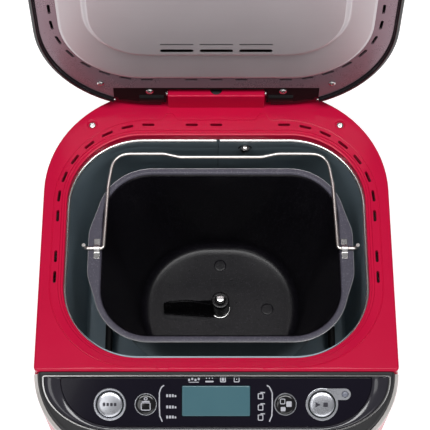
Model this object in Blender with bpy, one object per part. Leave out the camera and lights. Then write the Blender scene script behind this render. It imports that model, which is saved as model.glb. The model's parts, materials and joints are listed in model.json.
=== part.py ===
"""Bread machine with its lid open: body, hinged lid, oven chamber, lift-out pan and belt drive.

Metres, +Z up. X runs along the machine's width, -Y is its front, and the feet stand on Z = 0.
The origin ends up under the middle of the open machine.
"""

import math

import bmesh
import bpy
from mathutils import Matrix, Vector

# ---- body ----
DECK_TOP = 0.232  # height of the flat red deck over the table
DECK_HALF = 0.1378  # half of the deck's width
DECK_DEPTH = 0.2407  # from the deck's front edge, at Y = 0, to its back edge
DECK_BACK_R = 0.090
DECK_FRONT_R = 0.004
DECK_PLATE = 0.0028  # thickness of the deck's top
WALL = 0.0022  # wall of the moulded parts
NOSE_SKIRT = 0.009  # depth of the fascia under its slope
DECK_SKIRT = NOSE_SKIRT + 0.001  # height of the deck's outer wall
NOSE_DEPTH = 0.057  # how far the front stands out past the deck's front edge
NOSE_CORNER = (0.062, NOSE_DEPTH - 0.001)  # the front corners are quarter ellipses
SHELL_TUCK = 0.006  # the shell's foot is drawn in by this
FOOT_HEIGHT = 0.008
FOOT_R = 0.0095
FOOT_STEM_R = 0.0028
FRONT_FOOT = (DECK_HALF - 0.0328, -0.008)  # the right-hand feet
BACK_FOOT = (DECK_HALF - 0.0428, DECK_DEPTH - 0.0557)
BASE_PLATE = 0.003
GAP = 0.0003  # between pieces that touch
RUNNING = 0.00006  # radial clearance round a turning shaft
ROUND = 24  # sides of a small round piece
CORNER_STEPS = 6  # edges in a quarter turn of a large outline
INLET_R = 0.0065
INLET_AT = (-0.045, 0.035)  # X and height of the cord's inlet
SHELL_VENT = 0.003  # width of a slot in the shell
SHELL_VENT_PITCH = 0.008
BACK_VENTS = 9
BACK_VENT_HEIGHTS = (0.60 * DECK_TOP, 0.73 * DECK_TOP)
SIDE_VENTS = 8
SIDE_VENT_START = DECK_DEPTH / 2 - 0.050
SIDE_VENT_HEIGHTS = (0.050, 0.075)

# ---- opening and chamber ----
OPEN_HALF = DECK_HALF - 0.0192
OPEN_FRONT = 0.012
OPEN_BACK = DECK_DEPTH - 0.0407
OPEN_R = 0.059
COLLAR = 0.0085  # depth of the wall round the opening
LINER_WALL = 0.001
LINER_TOP = DECK_TOP - COLLAR - 0.0013
LINER_FLANGE = 0.0055
LINER_SIDE = 0.0004  # the chamber is this much wider than the opening on each side
LINER_ENDS = (0.002, 0.004)  # it starts behind the opening's front edge and ends past its back edge
CHAMBER_FLOOR = 0.0463  # leaves room under it for the belt drive

# ---- ventilation slots of deck and lid ----
SLOT = (0.010, 0.0023)
SLOT_HALF = OPEN_HALF + 0.0068  # the slots follow an outline of this half width
SLOT_BACK = OPEN_BACK + 0.009
SLOT_R = 0.070
SLOT_PITCH = 0.0173
SLOT_SIDE_END = 0.076  # the side rows stop here
SLOT_GAP_Y = 0.109  # one slot is left out of each side row here
DECK_SCREW_AT = (DECK_HALF - 0.0367, DECK_DEPTH - 0.0317)
SCREW_R = 0.0015
SCREW_HEAD_R = 0.0027
SCREW_SINK_R = SCREW_HEAD_R + 0.00155
SCREW_SINK = 0.0014

# ---- sloping control panel ----
PANEL_SLOPE = math.radians(25.0)
PANEL_EDGE = (-0.0005, DECK_TOP - 0.001)  # Y and Z where the slope starts
EDGE_STRIP = 0.0030  # width of the satin strip round the nose
FASCIA_BAND = 0.0035  # black band between that strip and the silver trim line
TRIM_HALF = DECK_HALF - EDGE_STRIP - FASCIA_BAND - GAP
TRIM_BACK = -0.0022
TRIM_FRONT = -(NOSE_DEPTH - 0.0110)
TRIM_CORNER = (0.055, NOSE_DEPTH - 0.0175)
TRIM_WIDTH = 0.0013
PLATE_HALF = TRIM_HALF - 0.0138
PLATE_BACK = -0.0045
PLATE_FRONT = TRIM_FRONT + 0.0050
PLATE_CORNER = (0.040, NOSE_DEPTH - 0.0225)
PLATE_DEPTH = PLATE_BACK - PLATE_FRONT
PANEL_STACK = 0.0040  # thickness of the panel's pieces
LEDGE = 0.0035  # the fascia's ledge under them
ROW = (PLATE_FRONT + PLATE_BACK) / 2 - 0.0016  # the buttons' row on the slope
LARGE_R = 0.277 * PLATE_DEPTH
SMALL_R = 0.230 * PLATE_DEPTH
BEZEL = 0.0021  # width of a large button's silver bezel
RING_R = LARGE_R + BEZEL
LCD = (-0.220 * PLATE_HALF, 0.217 * PLATE_HALF)  # left and right edge
LCD_HEIGHT = 0.630 * PLATE_DEPTH
LCD_TOP = PLATE_BACK - 0.165 * PLATE_DEPTH
LOAF_AT = (-0.453 * PLATE_HALF, ROW)
MENU_AT = (-0.684 * PLATE_HALF, ROW)
CRUST_AT = (0.444 * PLATE_HALF, ROW)
START_AT = (0.678 * PLATE_HALF, ROW)
PILL_R = 0.0043
PILL_END = (START_AT[0] + 0.0173, START_AT[1] + RING_R - PILL_R - 0.0002)
LAMP_R = 0.0023
BUTTON_TRAVEL = 0.001
BUTTON_STEM_R = 0.0022
BOARD_DEPTH = 0.0112
BOARD_HALF = START_AT[0] + RING_R + 0.0083

# ---- lid ----
HINGE_Y = DECK_DEPTH - 0.0076
HINGE_Z = DECK_TOP + 0.0106
LID_OPEN = math.radians(100.5)
LID_OVERHANG = 0.0018
LID_FRONT_R = 0.008
RIM_BAND = 0.0040  # width of the lid's glossy edge
RIM_TOP = DECK_TOP + 0.0218
FRAME_BOTTOM = DECK_TOP + 0.0034
FRAME_PLATE = 0.002
REAR_CUT_HALF = 0.602 * DECK_HALF  # rim and inner frame are cut away here for the hinge
REAR_CUT_Y = DECK_DEPTH - 0.0212
REFLECTOR_HALF = OPEN_HALF + 0.0014
REFLECTOR_BACK = OPEN_BACK + 0.0061
REFLECTOR_FRONT = OPEN_FRONT - 0.004
REFLECTOR_R = 0.062
REFLECTOR_SHEET = 0.0008
REFLECTOR_DROP = 0.0012  # its flange hangs this far under the inner frame
PLATEAU_INSET = (0.0195, 0.0285)  # of the stamped plateau, at the sides and at the ends
PLATEAU_BEVEL = 0.004
PLATEAU_RISE = 0.0035
VENT_ROWS = ((REFLECTOR_BACK - 0.0442, 0.0016), (REFLECTOR_BACK - 0.0369, 0.0040))  # Y and width
VENT_PITCH = 0.0305
VENT_LENGTH = 0.026
HINGE_PIN_R = 0.0025
KNUCKLE_R = HINGE_PIN_R + 0.0050
BLOCK_HALF = 0.286 * DECK_HALF
BLOCK_FRONT = DECK_DEPTH - 0.0158
BLOCK_HEIGHT = 0.0184
BLOCK_ROUNDING = 0.0012
HINGE_WIDTH = 0.2685 * DECK_HALF
KNUCKLE_LENGTH = 0.020
HINGE_GAP = 0.003  # between block and knuckle
ARM_REACH = 0.0311  # of the hinge's arm, forward from the pin
ARM_THICK = 0.006
LID_SCREW_AT = (DECK_HALF - 0.0451, DECK_DEPTH - 0.0281)
LID_VENTS = 5
GRIP = ((-0.042, 0.003), (-0.034, 0.012), (0.034, 0.012), (0.042, 0.003))  # X and reach

# ---- pan ----
PAN_X = 0.0036
PAN_Y = (OPEN_FRONT + OPEN_BACK) / 2 + 0.0005
PAN_RIM_Z = DECK_TOP - 0.025
PAN_FLOOR_Z = CHAMBER_FLOOR + 0.0277  # inside
PAN_WALL = 0.0014
PAN_FLANGE = 0.007
PAN_RIM = (OPEN_HALF - 0.0246, (OPEN_BACK - OPEN_FRONT) / 2 - 0.0255, 0.038)  # half sizes, radius
PAN_FOOT = (PAN_RIM[0] - 0.0250, PAN_RIM[1] - 0.0065, 0.045)
EAR_WIDTH = 0.0058  # extra flange width at the handle's pivots
EAR_HALF = 0.0150
EAR_TAPER = 0.026
PAN_BASE_R = 0.043
WIRE_R = 0.0015
BAIL_Y = PAN_Y + 0.0030
BAIL_Z = PAN_RIM_Z + GAP + WIRE_R
BAIL_REACH = PAN_RIM[1] + 0.0162  # from the pivot to the bar
BAIL_DIP = 0.0031
BAIL_HOOK = 0.0055 + WIRE_R
STRAP_WIDTH = 0.005
STRAP_SHEET = 0.001
STRAP_TAB = 0.0060

# ---- drive ----
SHAFT_R = 0.004
SHAFT_HEIGHT = 0.0290  # over the pan's floor
HUB_WALL = 0.0042
HUB_HEIGHT = 0.0225
SEAL_HEIGHT = 0.0018
PADDLE_PLAY = 0.0001
PADDLE_REACH = PAN_FOOT[0] - 0.0190
MOTOR_X = -0.435 * DECK_HALF
MOTOR_Y = (OPEN_FRONT - NOSE_DEPTH) / 2 + 0.0005
MOTOR_R = (OPEN_FRONT + NOSE_DEPTH) / 2 - 0.0055
MOTOR_HEIGHT = 0.060
MOTOR_SHAFT_R = 0.0025
BRACKET_SHEET = 0.002
DRIVE_PULLEY_R = 0.042
MOTOR_PULLEY_R = 0.011
BELT_THICK = 0.0016
BELT_WIDTH = 0.008
PULLEY_Z = FOOT_HEIGHT + BASE_PLATE + 0.004
PULLEY_WIDTH = BELT_WIDTH + 0.002
ELEMENT_R = 0.0033
ELEMENT_Z = CHAMBER_FLOOR + 0.027
ELEMENT_HALF = OPEN_HALF - 0.0201
ELEMENT_ENDS = 0.012  # its two ends stand this far either side of the pan's middle
ELEMENT_BEND = 0.034
CLIP = (0.007, 0.0006)  # half width and half thickness of a clip
COUPLING_R = SHAFT_R + 0.0075
BEARING_R = COUPLING_R + 0.0013
COUPLING_FLOOR = PAN_FLOOR_Z - 0.0312  # underside of the drive coupling's disc
SENSOR_R = 0.003
SENSOR_AT = (0.024, DECK_TOP - 0.029)


# ---- building blocks ----

def clear_scene():
    for thing in list(bpy.data.objects):
        bpy.data.objects.remove(thing, do_unlink=True)


def finish(name, color, roughness, metallic=0.0):
    material = bpy.data.materials.new(name)
    material.use_nodes = True
    shader = material.node_tree.nodes["Principled BSDF"]
    shader.inputs["Base Color"].default_value = (*color, 1.0)
    shader.inputs["Roughness"].default_value = roughness
    shader.inputs["Metallic"].default_value = metallic
    material.diffuse_color = (*color, 1.0)
    return material


def empty(name, place, parent=None, turn=(0.0, 0.0, 0.0)):
    thing = bpy.data.objects.new(name, None)
    bpy.context.scene.collection.objects.link(thing)
    thing.location = place
    thing.rotation_euler = turn
    thing.parent = parent
    return thing


def mesh_object(name, bm, place=(0.0, 0.0, 0.0), parent=None, material=None, smooth=30.0):
    """Closes off a bmesh as a named object with its normals pointing out."""
    bmesh.ops.recalc_face_normals(bm, faces=bm.faces)
    mesh = bpy.data.meshes.new(name)
    bm.to_mesh(mesh)
    bm.free()
    thing = bpy.data.objects.new(name, mesh)
    bpy.context.scene.collection.objects.link(thing)
    thing.location = place
    thing.parent = parent
    if material:
        mesh.materials.append(material)
    mesh.shade_smooth()
    mesh.set_sharp_from_angle(angle=math.radians(smooth))
    return thing


def add_loops(bm, loops, ring=False):
    """Joins closed loops of equally many points, one after another, into a closed skin."""
    rows = [[bm.verts.new(point) for point in loop] for loop in loops]
    pairs = list(zip(rows, rows[1:]))
    if ring:
        pairs.append((rows[-1], rows[0]))
    else:
        bm.faces.new(rows[0])
        bm.faces.new(rows[-1])
    for low, high in pairs:
        for i in range(len(low)):
            j = (i + 1) % len(low)
            bm.faces.new((low[i], low[j], high[j], high[i]))


def skin(name, loops, ring=False, **options):
    bm = bmesh.new()
    add_loops(bm, loops, ring)
    return mesh_object(name, bm, **options)


def circle(radius, z, sides=ROUND):
    angles = [math.tau * i / sides for i in range(sides)]
    return [(radius * math.cos(a), radius * math.sin(a), z) for a in angles]


def turned(name, profile, ring=False, sides=ROUND, **options):
    """A piece turned about Z from (radius, height) points. A ring's profile closes on itself."""
    loops = [circle(radius, z, sides) for radius, z in profile]
    return skin(name, loops, ring, **options)


def box_loops(low, high):
    corners = ((low[0], low[1]), (high[0], low[1]), (high[0], high[1]), (low[0], high[1]))
    return [[(x, y, z) for x, y in corners] for z in (low[2], high[2])]


def cutter(name, shapes, parent=None):
    """One hidden helper made of several closed skins."""
    bm = bmesh.new()
    for loops in shapes:
        add_loops(bm, loops)
    thing = mesh_object(name, bm, parent=parent)
    thing.hide_render = True
    thing.display_type = "WIRE"
    return thing


def combine(thing, other, operation="DIFFERENCE"):
    modifier = thing.modifiers.new(operation.lower(), "BOOLEAN")
    modifier.operation = operation
    modifier.object = other
    modifier.solver = "EXACT"
    return thing


def outline(half, front, back, front_corner, back_corner, inset=0.0, side_points=0):
    """A rounded rectangle as (x, y) points, counter-clockwise from the right front corner.

    Each corner is (x radius, y radius). side_points adds points along the two straight sides.
    """
    half, front, back = half - inset, front + inset, back - inset
    share = min(1.0, 0.99 * (back - front) / (front_corner[1] + back_corner[1] - 2 * inset))
    front_corner, back_corner = [
        (max(min(across - inset, 0.99 * half), 0.0004), max(share * (along - inset), 0.0004))
        for across, along in (front_corner, back_corner)
    ]
    points = []
    for quarter in range(4):
        across, along = front_corner if quarter in (0, 3) else back_corner
        side_x = 1 if quarter in (0, 1) else -1
        edge_y = front + along if quarter in (0, 3) else back - along
        start = -math.pi / 2 + quarter * math.pi / 2
        for step in range(CORNER_STEPS + 1):
            angle = start + step * math.pi / 2 / CORNER_STEPS
            x = side_x * (half - across) + across * math.cos(angle)
            points.append((x, edge_y + along * math.sin(angle)))
        if quarter in (0, 2):
            last = points[-1]
            far = back - back_corner[1] if quarter == 0 else front + front_corner[1]
            for i in range(side_points):
                share = (i + 1) / (side_points + 1)
                points.append((last[0], last[1] + share * (far - last[1])))
    return points


def at_height(points, z):
    return [(x, y, z) for x, y in points]


def mirrored(build):
    """Calls build(side, sign) for the left and the right."""
    return [build(side, sign) for side, sign in (("left", -1), ("right", 1))]


def turn_loops(loops, matrix):
    return [[tuple(matrix @ Vector(point)) for point in loop] for loop in loops]


def cylinder_loops(radius, start, end, sides=ROUND):
    """A cylinder from one point to another."""
    start, end = Vector(start), Vector(end)
    turn = (end - start).to_track_quat("Z", "Y").to_matrix().to_4x4()
    place = Matrix.Translation(start) @ turn
    length = (end - start).length
    return turn_loops([circle(radius, 0.0, sides), circle(radius, length, sides)], place)


def tube_loops(path, radius, sides=10):
    """Round sections along a path, each square to the path, without twist."""
    points = [Vector(p) for p in path]
    loops, up = [], None
    for i, point in enumerate(points):
        ahead = points[min(i + 1, len(points) - 1)] - points[max(i - 1, 0)]
        ahead.normalize()
        up = ahead.orthogonal() if up is None else up - ahead * up.dot(ahead)
        up.normalize()
        side = ahead.cross(up)
        loops.append([
            tuple(point + radius * (math.cos(a) * up + math.sin(a) * side))
            for a in (math.tau * k / sides for k in range(sides))
        ])
    return loops


def bend(before, corner, after, radius, steps=5):
    """Points of a smooth bend of the path before-corner-after."""
    corner = Vector(corner)
    back = (Vector(before) - corner).normalized()
    on = (Vector(after) - corner).normalized()
    half = back.angle(on) / 2
    run = radius / math.tan(half)
    start, end = corner + back * run, corner + on * run
    return [
        tuple((1 - t) ** 2 * start + 2 * t * (1 - t) * corner + t ** 2 * end)
        for t in (i / steps for i in range(steps + 1))
    ]


def rounded_path(corners, radii, steps=5):
    """A path through corner points, each inner corner rounded by its own radius."""
    path = [corners[0]]
    for before, corner, after, radius in zip(corners, corners[1:], corners[2:], radii):
        path += bend(before, corner, after, radius, steps)
    return path + [corners[-1]]


# ---- finishes ----

RED = finish("red_gloss_plastic", (0.56, 0.008, 0.045), 0.32)
BLACK_GLOSS = finish("black_gloss_plastic", (0.012, 0.011, 0.014), 0.12)
BLACK_MATT = finish("black_matt_plastic", (0.020, 0.020, 0.022), 0.55)
FRAME_GREY = finish("mauve_grey_plastic", (0.075, 0.062, 0.072), 0.38)
NAVY_GLOSS = finish("navy_gloss_plate", (0.010, 0.009, 0.016), 0.10)
SILVER = finish("silver_paint", (0.62, 0.63, 0.68), 0.28, 0.8)
SATIN = finish("satin_edge", (0.55, 0.53, 0.52), 0.40, 0.3)
STEEL = finish("bright_steel", (0.60, 0.60, 0.62), 0.25, 1.0)
LINER_STEEL = finish("coated_chamber_steel", (0.045, 0.075, 0.088), 0.35, 0.6)
REFLECTOR_STEEL = finish("brushed_reflector_steel", (0.48, 0.46, 0.46), 0.30, 1.0)
NON_STICK = finish("non_stick_coating", (0.030, 0.029, 0.036), 0.42, 0.2)
WIRE_STEEL = finish("stainless_wire", (0.63, 0.62, 0.62), 0.24, 1.0)
LCD_GLASS = finish("lcd_teal", (0.10, 0.22, 0.20), 0.15)
BOARD_GREEN = finish("circuit_board", (0.01, 0.09, 0.035), 0.50)
RUBBER = finish("black_rubber", (0.018, 0.018, 0.018), 0.80)
LAMP_LENS = finish("lamp_lens", (0.35, 0.36, 0.42), 0.20)
CAST = finish("cast_aluminium", (0.42, 0.42, 0.43), 0.45, 0.9)


# ---- outlines ----

def deck_outline(inset=0.0, corner=DECK_FRONT_R):
    return outline(
        DECK_HALF, 0.0, DECK_DEPTH, (corner, corner), (DECK_BACK_R, DECK_BACK_R), inset
    )


def body_outline(inset=0.0):
    return outline(
        DECK_HALF, -NOSE_DEPTH, DECK_DEPTH, NOSE_CORNER, (DECK_BACK_R, DECK_BACK_R), inset
    )


def opening_outline(inset=0.0):
    return outline(OPEN_HALF, OPEN_FRONT, OPEN_BACK, (OPEN_R, OPEN_R), (OPEN_R, OPEN_R), inset)


def lid_outline(inset=0.0):
    return outline(
        DECK_HALF + LID_OVERHANG, -LID_OVERHANG, DECK_DEPTH + LID_OVERHANG,
        (LID_FRONT_R, LID_FRONT_R),
        (DECK_BACK_R + LID_OVERHANG, DECK_BACK_R + LID_OVERHANG),
        inset,
    )


def slope_height(y):
    """Height of the sloping panel's plane; level with the deck behind its edge."""
    return PANEL_EDGE[1] + math.tan(PANEL_SLOPE) * min(y - PANEL_EDGE[0], 0.0)


def on_panel(u, v, w=0.0):
    """World place of a point u across, v up the slope and w out of the panel."""
    c, s = math.cos(PANEL_SLOPE), math.sin(PANEL_SLOPE)
    return (u, PANEL_EDGE[0] + v * c - w * s, PANEL_EDGE[1] + v * s + w * c)


def trim_outline(inset=0.0):
    return outline(
        TRIM_HALF, TRIM_FRONT, TRIM_BACK, TRIM_CORNER, (0.0015, 0.0015), inset
    )


def plate_outline(inset=0.0):
    return outline(
        PLATE_HALF, PLATE_FRONT, PLATE_BACK, PLATE_CORNER, (0.0015, 0.0015), inset
    )


# ---- base, shell and deck ----

def make_base(root):
    inset = SHELL_TUCK + WALL + 0.0004
    plate = skin(
        "base_plate",
        [at_height(body_outline(inset), FOOT_HEIGHT),
         at_height(body_outline(inset), FOOT_HEIGHT + BASE_PLATE)],
        parent=root, material=BLACK_MATT,
    )
    places = [(s * x, y) for s in (-1, 1) for x, y in (FRONT_FOOT, BACK_FOOT)]
    shapes = [
        cylinder_loops(FOOT_STEM_R + GAP, (x, y, 0.0), (x, y, 0.02), 16) for x, y in places
    ]
    combine(plate, cutter("foot_holes", shapes, root))
    for x, y in places:
        side = "left" if x < 0 else "right"
        end = "front" if y == FRONT_FOOT[1] else "back"
        turned(
            f"foot_{end}_{side}",
            [(FOOT_R - 0.0015, 0.0), (FOOT_R, 0.0012), (FOOT_R, FOOT_HEIGHT - GAP),
             (FOOT_STEM_R, FOOT_HEIGHT - GAP), (FOOT_STEM_R, FOOT_HEIGHT + 0.006)],
            sides=16, place=(x, y, 0.0), parent=root, material=RUBBER,
        )


def make_shell(root):
    def wall_loop(height, inset):
        return at_height(body_outline(inset), height)

    def top_loop(inset):
        return [(x, y, slope_height(y) - NOSE_SKIRT - GAP) for x, y in body_outline(inset)]

    bottom, tuck = FOOT_HEIGHT - 0.002, SHELL_TUCK
    foot = [(0.0, tuck), (0.010, 0.0015), (0.022, 0.0)]
    outer = [wall_loop(bottom + rise, inset) for rise, inset in foot]
    inner = [wall_loop(bottom + rise, inset + WALL) for rise, inset in reversed(foot)]
    shell = skin(
        "body_shell", outer + [top_loop(0.0), top_loop(WALL)] + inner,
        ring=True, parent=root, material=RED,
    )
    vents = []
    back, side, half = DECK_DEPTH, DECK_HALF, SHELL_VENT / 2
    low, high = BACK_VENT_HEIGHTS
    for i in range(BACK_VENTS):
        x = (i - (BACK_VENTS - 1) / 2) * SHELL_VENT_PITCH
        vents.append(box_loops((x - half, back - 0.02, low), (x + half, back + 0.02, high)))
    low, high = SIDE_VENT_HEIGHTS
    for i in range(SIDE_VENTS):
        y = SIDE_VENT_START + i * SHELL_VENT_PITCH
        for sign in (-1, 1):
            near, far = sorted((sign * (side - 0.012), sign * (side + 0.012)))
            vents.append(box_loops((near, y - half, low), (far, y + half, high)))
    combine(shell, cutter("shell_vents", vents, root))
    x, z = INLET_AT
    inlet = cylinder_loops(INLET_R, (x, back - 0.02, z), (x, back + 0.02, z), 16)
    combine(shell, cutter("inlet_hole", [inlet], root))


def slot_places():
    """(x, y, angle) of the ventilation slots in deck and lid frame."""
    arc = SLOT_R * math.pi / 2
    straight = SLOT_HALF - SLOT_R
    places = [(0.0, SLOT_BACK, 0.0)]
    places += [(sign * x, SLOT_BACK, 0.0) for x in (0.020, straight) for sign in (-1, 1)]
    steps = int(arc / SLOT_PITCH)
    for i in range(1, steps + 1):
        angle = i * SLOT_PITCH / SLOT_R
        x = straight + SLOT_R * math.sin(angle)
        y = SLOT_BACK - SLOT_R + SLOT_R * math.cos(angle)
        places += [(sign * x, y, -sign * angle) for sign in (-1, 1)]
    y = SLOT_BACK - SLOT_R + arc - (steps + 1) * SLOT_PITCH
    while y > SLOT_SIDE_END - SLOT_PITCH / 2:
        if abs(y - SLOT_GAP_Y) > SLOT_PITCH / 2:
            places += [(sign * SLOT_HALF, y, math.pi / 2) for sign in (-1, 1)]
        y -= SLOT_PITCH
    return places


def slot_shapes(low, high):
    length, width = SLOT
    shapes = []
    for x, y, angle in slot_places():
        loops = box_loops((-length / 2, -width / 2, low), (length / 2, width / 2, high))
        place = Matrix.Translation((x, y, 0.0)) @ Matrix.Rotation(angle, 4, "Z")
        shapes.append(turn_loops(loops, place))
    return shapes


def make_deck(root):
    top, under = DECK_TOP, DECK_TOP - DECK_PLATE
    foot = DECK_TOP - DECK_SKIRT
    collar = DECK_TOP - COLLAR
    loops = [
        at_height(deck_outline(), foot),
        at_height(deck_outline(), top - 0.0022),
        at_height(deck_outline(0.0006), top - 0.0006),
        at_height(deck_outline(0.0022), top),
        at_height(opening_outline(-0.0020), top),
        at_height(opening_outline(), top - 0.0015),
        at_height(opening_outline(), collar),
        at_height(opening_outline(-WALL), collar),
        at_height(opening_outline(-WALL), under),
        at_height(deck_outline(WALL), under),
        at_height(deck_outline(WALL), foot),
    ]
    deck = skin("top_deck", loops, ring=True, parent=root, material=RED)
    combine(deck, cutter("deck_slots", slot_shapes(under - 0.01, top + 0.01), root))
    x, y = DECK_SCREW_AT
    seat = top - SCREW_SINK
    sinks = [
        cylinder_loops(SCREW_SINK_R, (s * x, y, seat), (s * x, y, top + 0.01), 20) for s in (-1, 1)
    ]
    holes = [screw_hole(s * x, y, under - 0.01, seat + 0.0004) for s in (-1, 1)]
    combine(deck, cutter("deck_screw_sinks", sinks, root))
    combine(deck, cutter("deck_screw_holes", holes, root))
    mirrored(lambda side, s: make_screw(f"deck_screw_{side}", (s * x, y, seat + GAP), root))


def screw_hole(x, y, low, high):
    return cylinder_loops(SCREW_R + GAP + 0.0001, (x, y, low), (x, y, high), 12)


def make_screw(name, place, parent, flip=False):
    """Pan head over the place, thread below it; flip turns it head down."""
    sign = -1 if flip else 1
    profile = [
        (SCREW_R * 0.8, sign * -0.0060), (SCREW_R, sign * -0.0055), (SCREW_R, 0.0),
        (SCREW_HEAD_R, 0.0), (SCREW_HEAD_R, sign * 0.0006), (SCREW_HEAD_R * 0.6, sign * 0.0011),
    ]
    return turned(name, profile, sides=12, place=place, parent=parent, material=STEEL)


def make_hinge_block(root):
    low, high = DECK_TOP + GAP, DECK_TOP + BLOCK_HEIGHT
    soft = BLOCK_ROUNDING
    rounding = (soft, soft)

    def level(z, inset):
        points = outline(BLOCK_HALF, BLOCK_FRONT, DECK_DEPTH, rounding, rounding, inset)
        return at_height(points, z)

    block = skin(
        "hinge_block", [level(low, 0.0), level(high - soft, 0.0), level(high, soft * 0.8)],
        parent=root, material=RED,
    )
    inner, outer = BLOCK_HALF - 0.0120, BLOCK_HALF + HINGE_GAP + KNUCKLE_LENGTH
    bores = [
        cylinder_loops(
            HINGE_PIN_R + GAP,
            (s * (inner - GAP), HINGE_Y, HINGE_Z), (s * (BLOCK_HALF + 0.01), HINGE_Y, HINGE_Z),
        )
        for s in (-1, 1)
    ]
    combine(block, cutter("hinge_block_bores", bores, root))

    def pin(side, s):
        loops = cylinder_loops(
            HINGE_PIN_R, (s * inner, HINGE_Y, HINGE_Z), (s * outer, HINGE_Y, HINGE_Z)
        )
        return skin(f"hinge_pin_{side}", loops, parent=root, material=STEEL)

    mirrored(pin)


def make_cord_inlet(root):
    neck = INLET_R - GAP
    throat, collar = neck - 0.003, INLET_R + 0.002
    thing = turned(
        "cord_inlet",
        [(throat, -0.006), (neck, -0.006), (neck, 0.003), (collar, 0.003),
         (collar, 0.005), (throat + 0.0018, 0.009), (throat, 0.009)],
        ring=True, sides=16, place=(INLET_AT[0], DECK_DEPTH - 0.003 + GAP, INLET_AT[1]), parent=root,
        material=BLACK_MATT,
    )
    thing.rotation_euler = (-math.pi / 2, 0.0, 0.0)


# ---- front fascia and control panel ----

def nose_points(inset, drop):
    """The nose's outline at a depth under the slope, closed along the deck's front edge."""
    points = outline(
        DECK_HALF, -NOSE_DEPTH, PANEL_EDGE[0] + inset, NOSE_CORNER, (0.0004, 0.0004), inset
    )
    return [(x, y, slope_height(y) - drop) for x, y in points]


def panel_points(points, w):
    return [on_panel(u, v, w) for u, v in points]


def make_fascia(root):
    edge = EDGE_STRIP + GAP
    ledge = -PANEL_STACK - GAP
    loops = [
        nose_points(edge, NOSE_SKIRT),
        nose_points(edge, 0.0030),
        nose_points(edge + 0.0007, 0.0008),
        nose_points(edge + 0.0020, 0.0),
        panel_points(trim_outline(-GAP), 0.0),
        panel_points(trim_outline(-GAP), ledge),
        panel_points(trim_outline(LEDGE), ledge),
        panel_points(trim_outline(LEDGE), ledge - 0.0015),
        nose_points(edge + WALL, NOSE_SKIRT - 0.0012),
        nose_points(edge + WALL, NOSE_SKIRT),
    ]
    skin("fascia_frame", loops, ring=True, parent=root, material=BLACK_MATT)


def make_fascia_edge(root):
    """A satin strip round the nose, outside the black fascia."""
    def rail(inset, drop):
        # the outline starts at the front edge's right end, so it is cut there and put together
        # again to run from side to side
        points = nose_points(inset, drop)
        count = CORNER_STEPS + 1
        return points[3 * count:] + points[:count]

    rails = [rail(0.0, NOSE_SKIRT), rail(0.0, 0.0052), rail(0.0006, 0.0040),
             rail(EDGE_STRIP, 0.0036), rail(EDGE_STRIP, NOSE_SKIRT)]
    sections = [[line[i] for line in rails] for i in range(len(rails[0]))]
    skin("fascia_edge", sections, parent=root, material=SATIN)


def panel_ring(name, outer, inner, low, high, material, parent):
    loops = [
        at_height(outer, low), at_height(outer, high), at_height(inner, high), at_height(inner, low)
    ]
    return skin(name, loops, ring=True, parent=parent, material=material)


def make_panel(panel):
    low = -PANEL_STACK
    panel_ring("panel_trim", trim_outline(), trim_outline(TRIM_WIDTH), low, 0.0006, SILVER, panel)
    panel_ring(
        "panel_bezel", trim_outline(TRIM_WIDTH + GAP), plate_outline(-GAP), low, -0.0002,
        BLACK_GLOSS, panel,
    )
    plate = skin(
        "control_panel", [at_height(plate_outline(), low), at_height(plate_outline(), -0.0006)],
        parent=panel, material=NAVY_GLOSS,
    )
    holes = [
        cylinder_loops(radius + GAP, (u, v, low - 0.01), (u, v, 0.01))
        for (u, v), radius in (
            (MENU_AT, RING_R), (START_AT, RING_R), (LOAF_AT, SMALL_R), (CRUST_AT, SMALL_R)
        )
    ]
    combine(plate, cutter("button_holes", holes, panel))
    (left, right), top, bottom = LCD, LCD_TOP, LCD_TOP - LCD_HEIGHT
    window = box_loops((left - GAP, bottom - GAP, low - 0.01), (right + GAP, top + GAP, 0.01))
    combine(plate, cutter("lcd_hole", [window, pill_loops(GAP, low - 0.01, 0.01)], panel))
    skin(
        "lcd_window", box_loops((left, bottom, low), (right, top, -0.0008)),
        parent=panel, material=LCD_GLASS,
    )
    board = skin(
        "control_board",
        box_loops(
            (-BOARD_HALF, PLATE_FRONT + 0.002, -BOARD_DEPTH - 0.0016),
            (BOARD_HALF, PLATE_BACK - 0.0035, -BOARD_DEPTH),
        ),
        parent=panel, material=BOARD_GREEN,
    )
    across = BOARD_HALF - 0.008
    posts = [
        cylinder_loops(0.002, (s * across, ROW, -0.03), (s * across, ROW, 0.0), 12) for s in (-1, 1)
    ]
    combine(board, cutter("board_holes", posts, panel))


def pill_loops(offset, low, high):
    """The start button's bezel reaches out to a small lamp on its upper right."""
    radius = PILL_R + offset
    u, v = PILL_END
    right = [
        (u + radius * math.cos(a), v + radius * math.sin(a))
        for a in (-math.pi / 2 + math.pi * k / 10 for k in range(11))
    ]
    points = right + [(START_AT[0] + 0.004, v + radius), (START_AT[0] + 0.004, v - radius)]
    return [at_height(points, low), at_height(points, high)]


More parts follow.
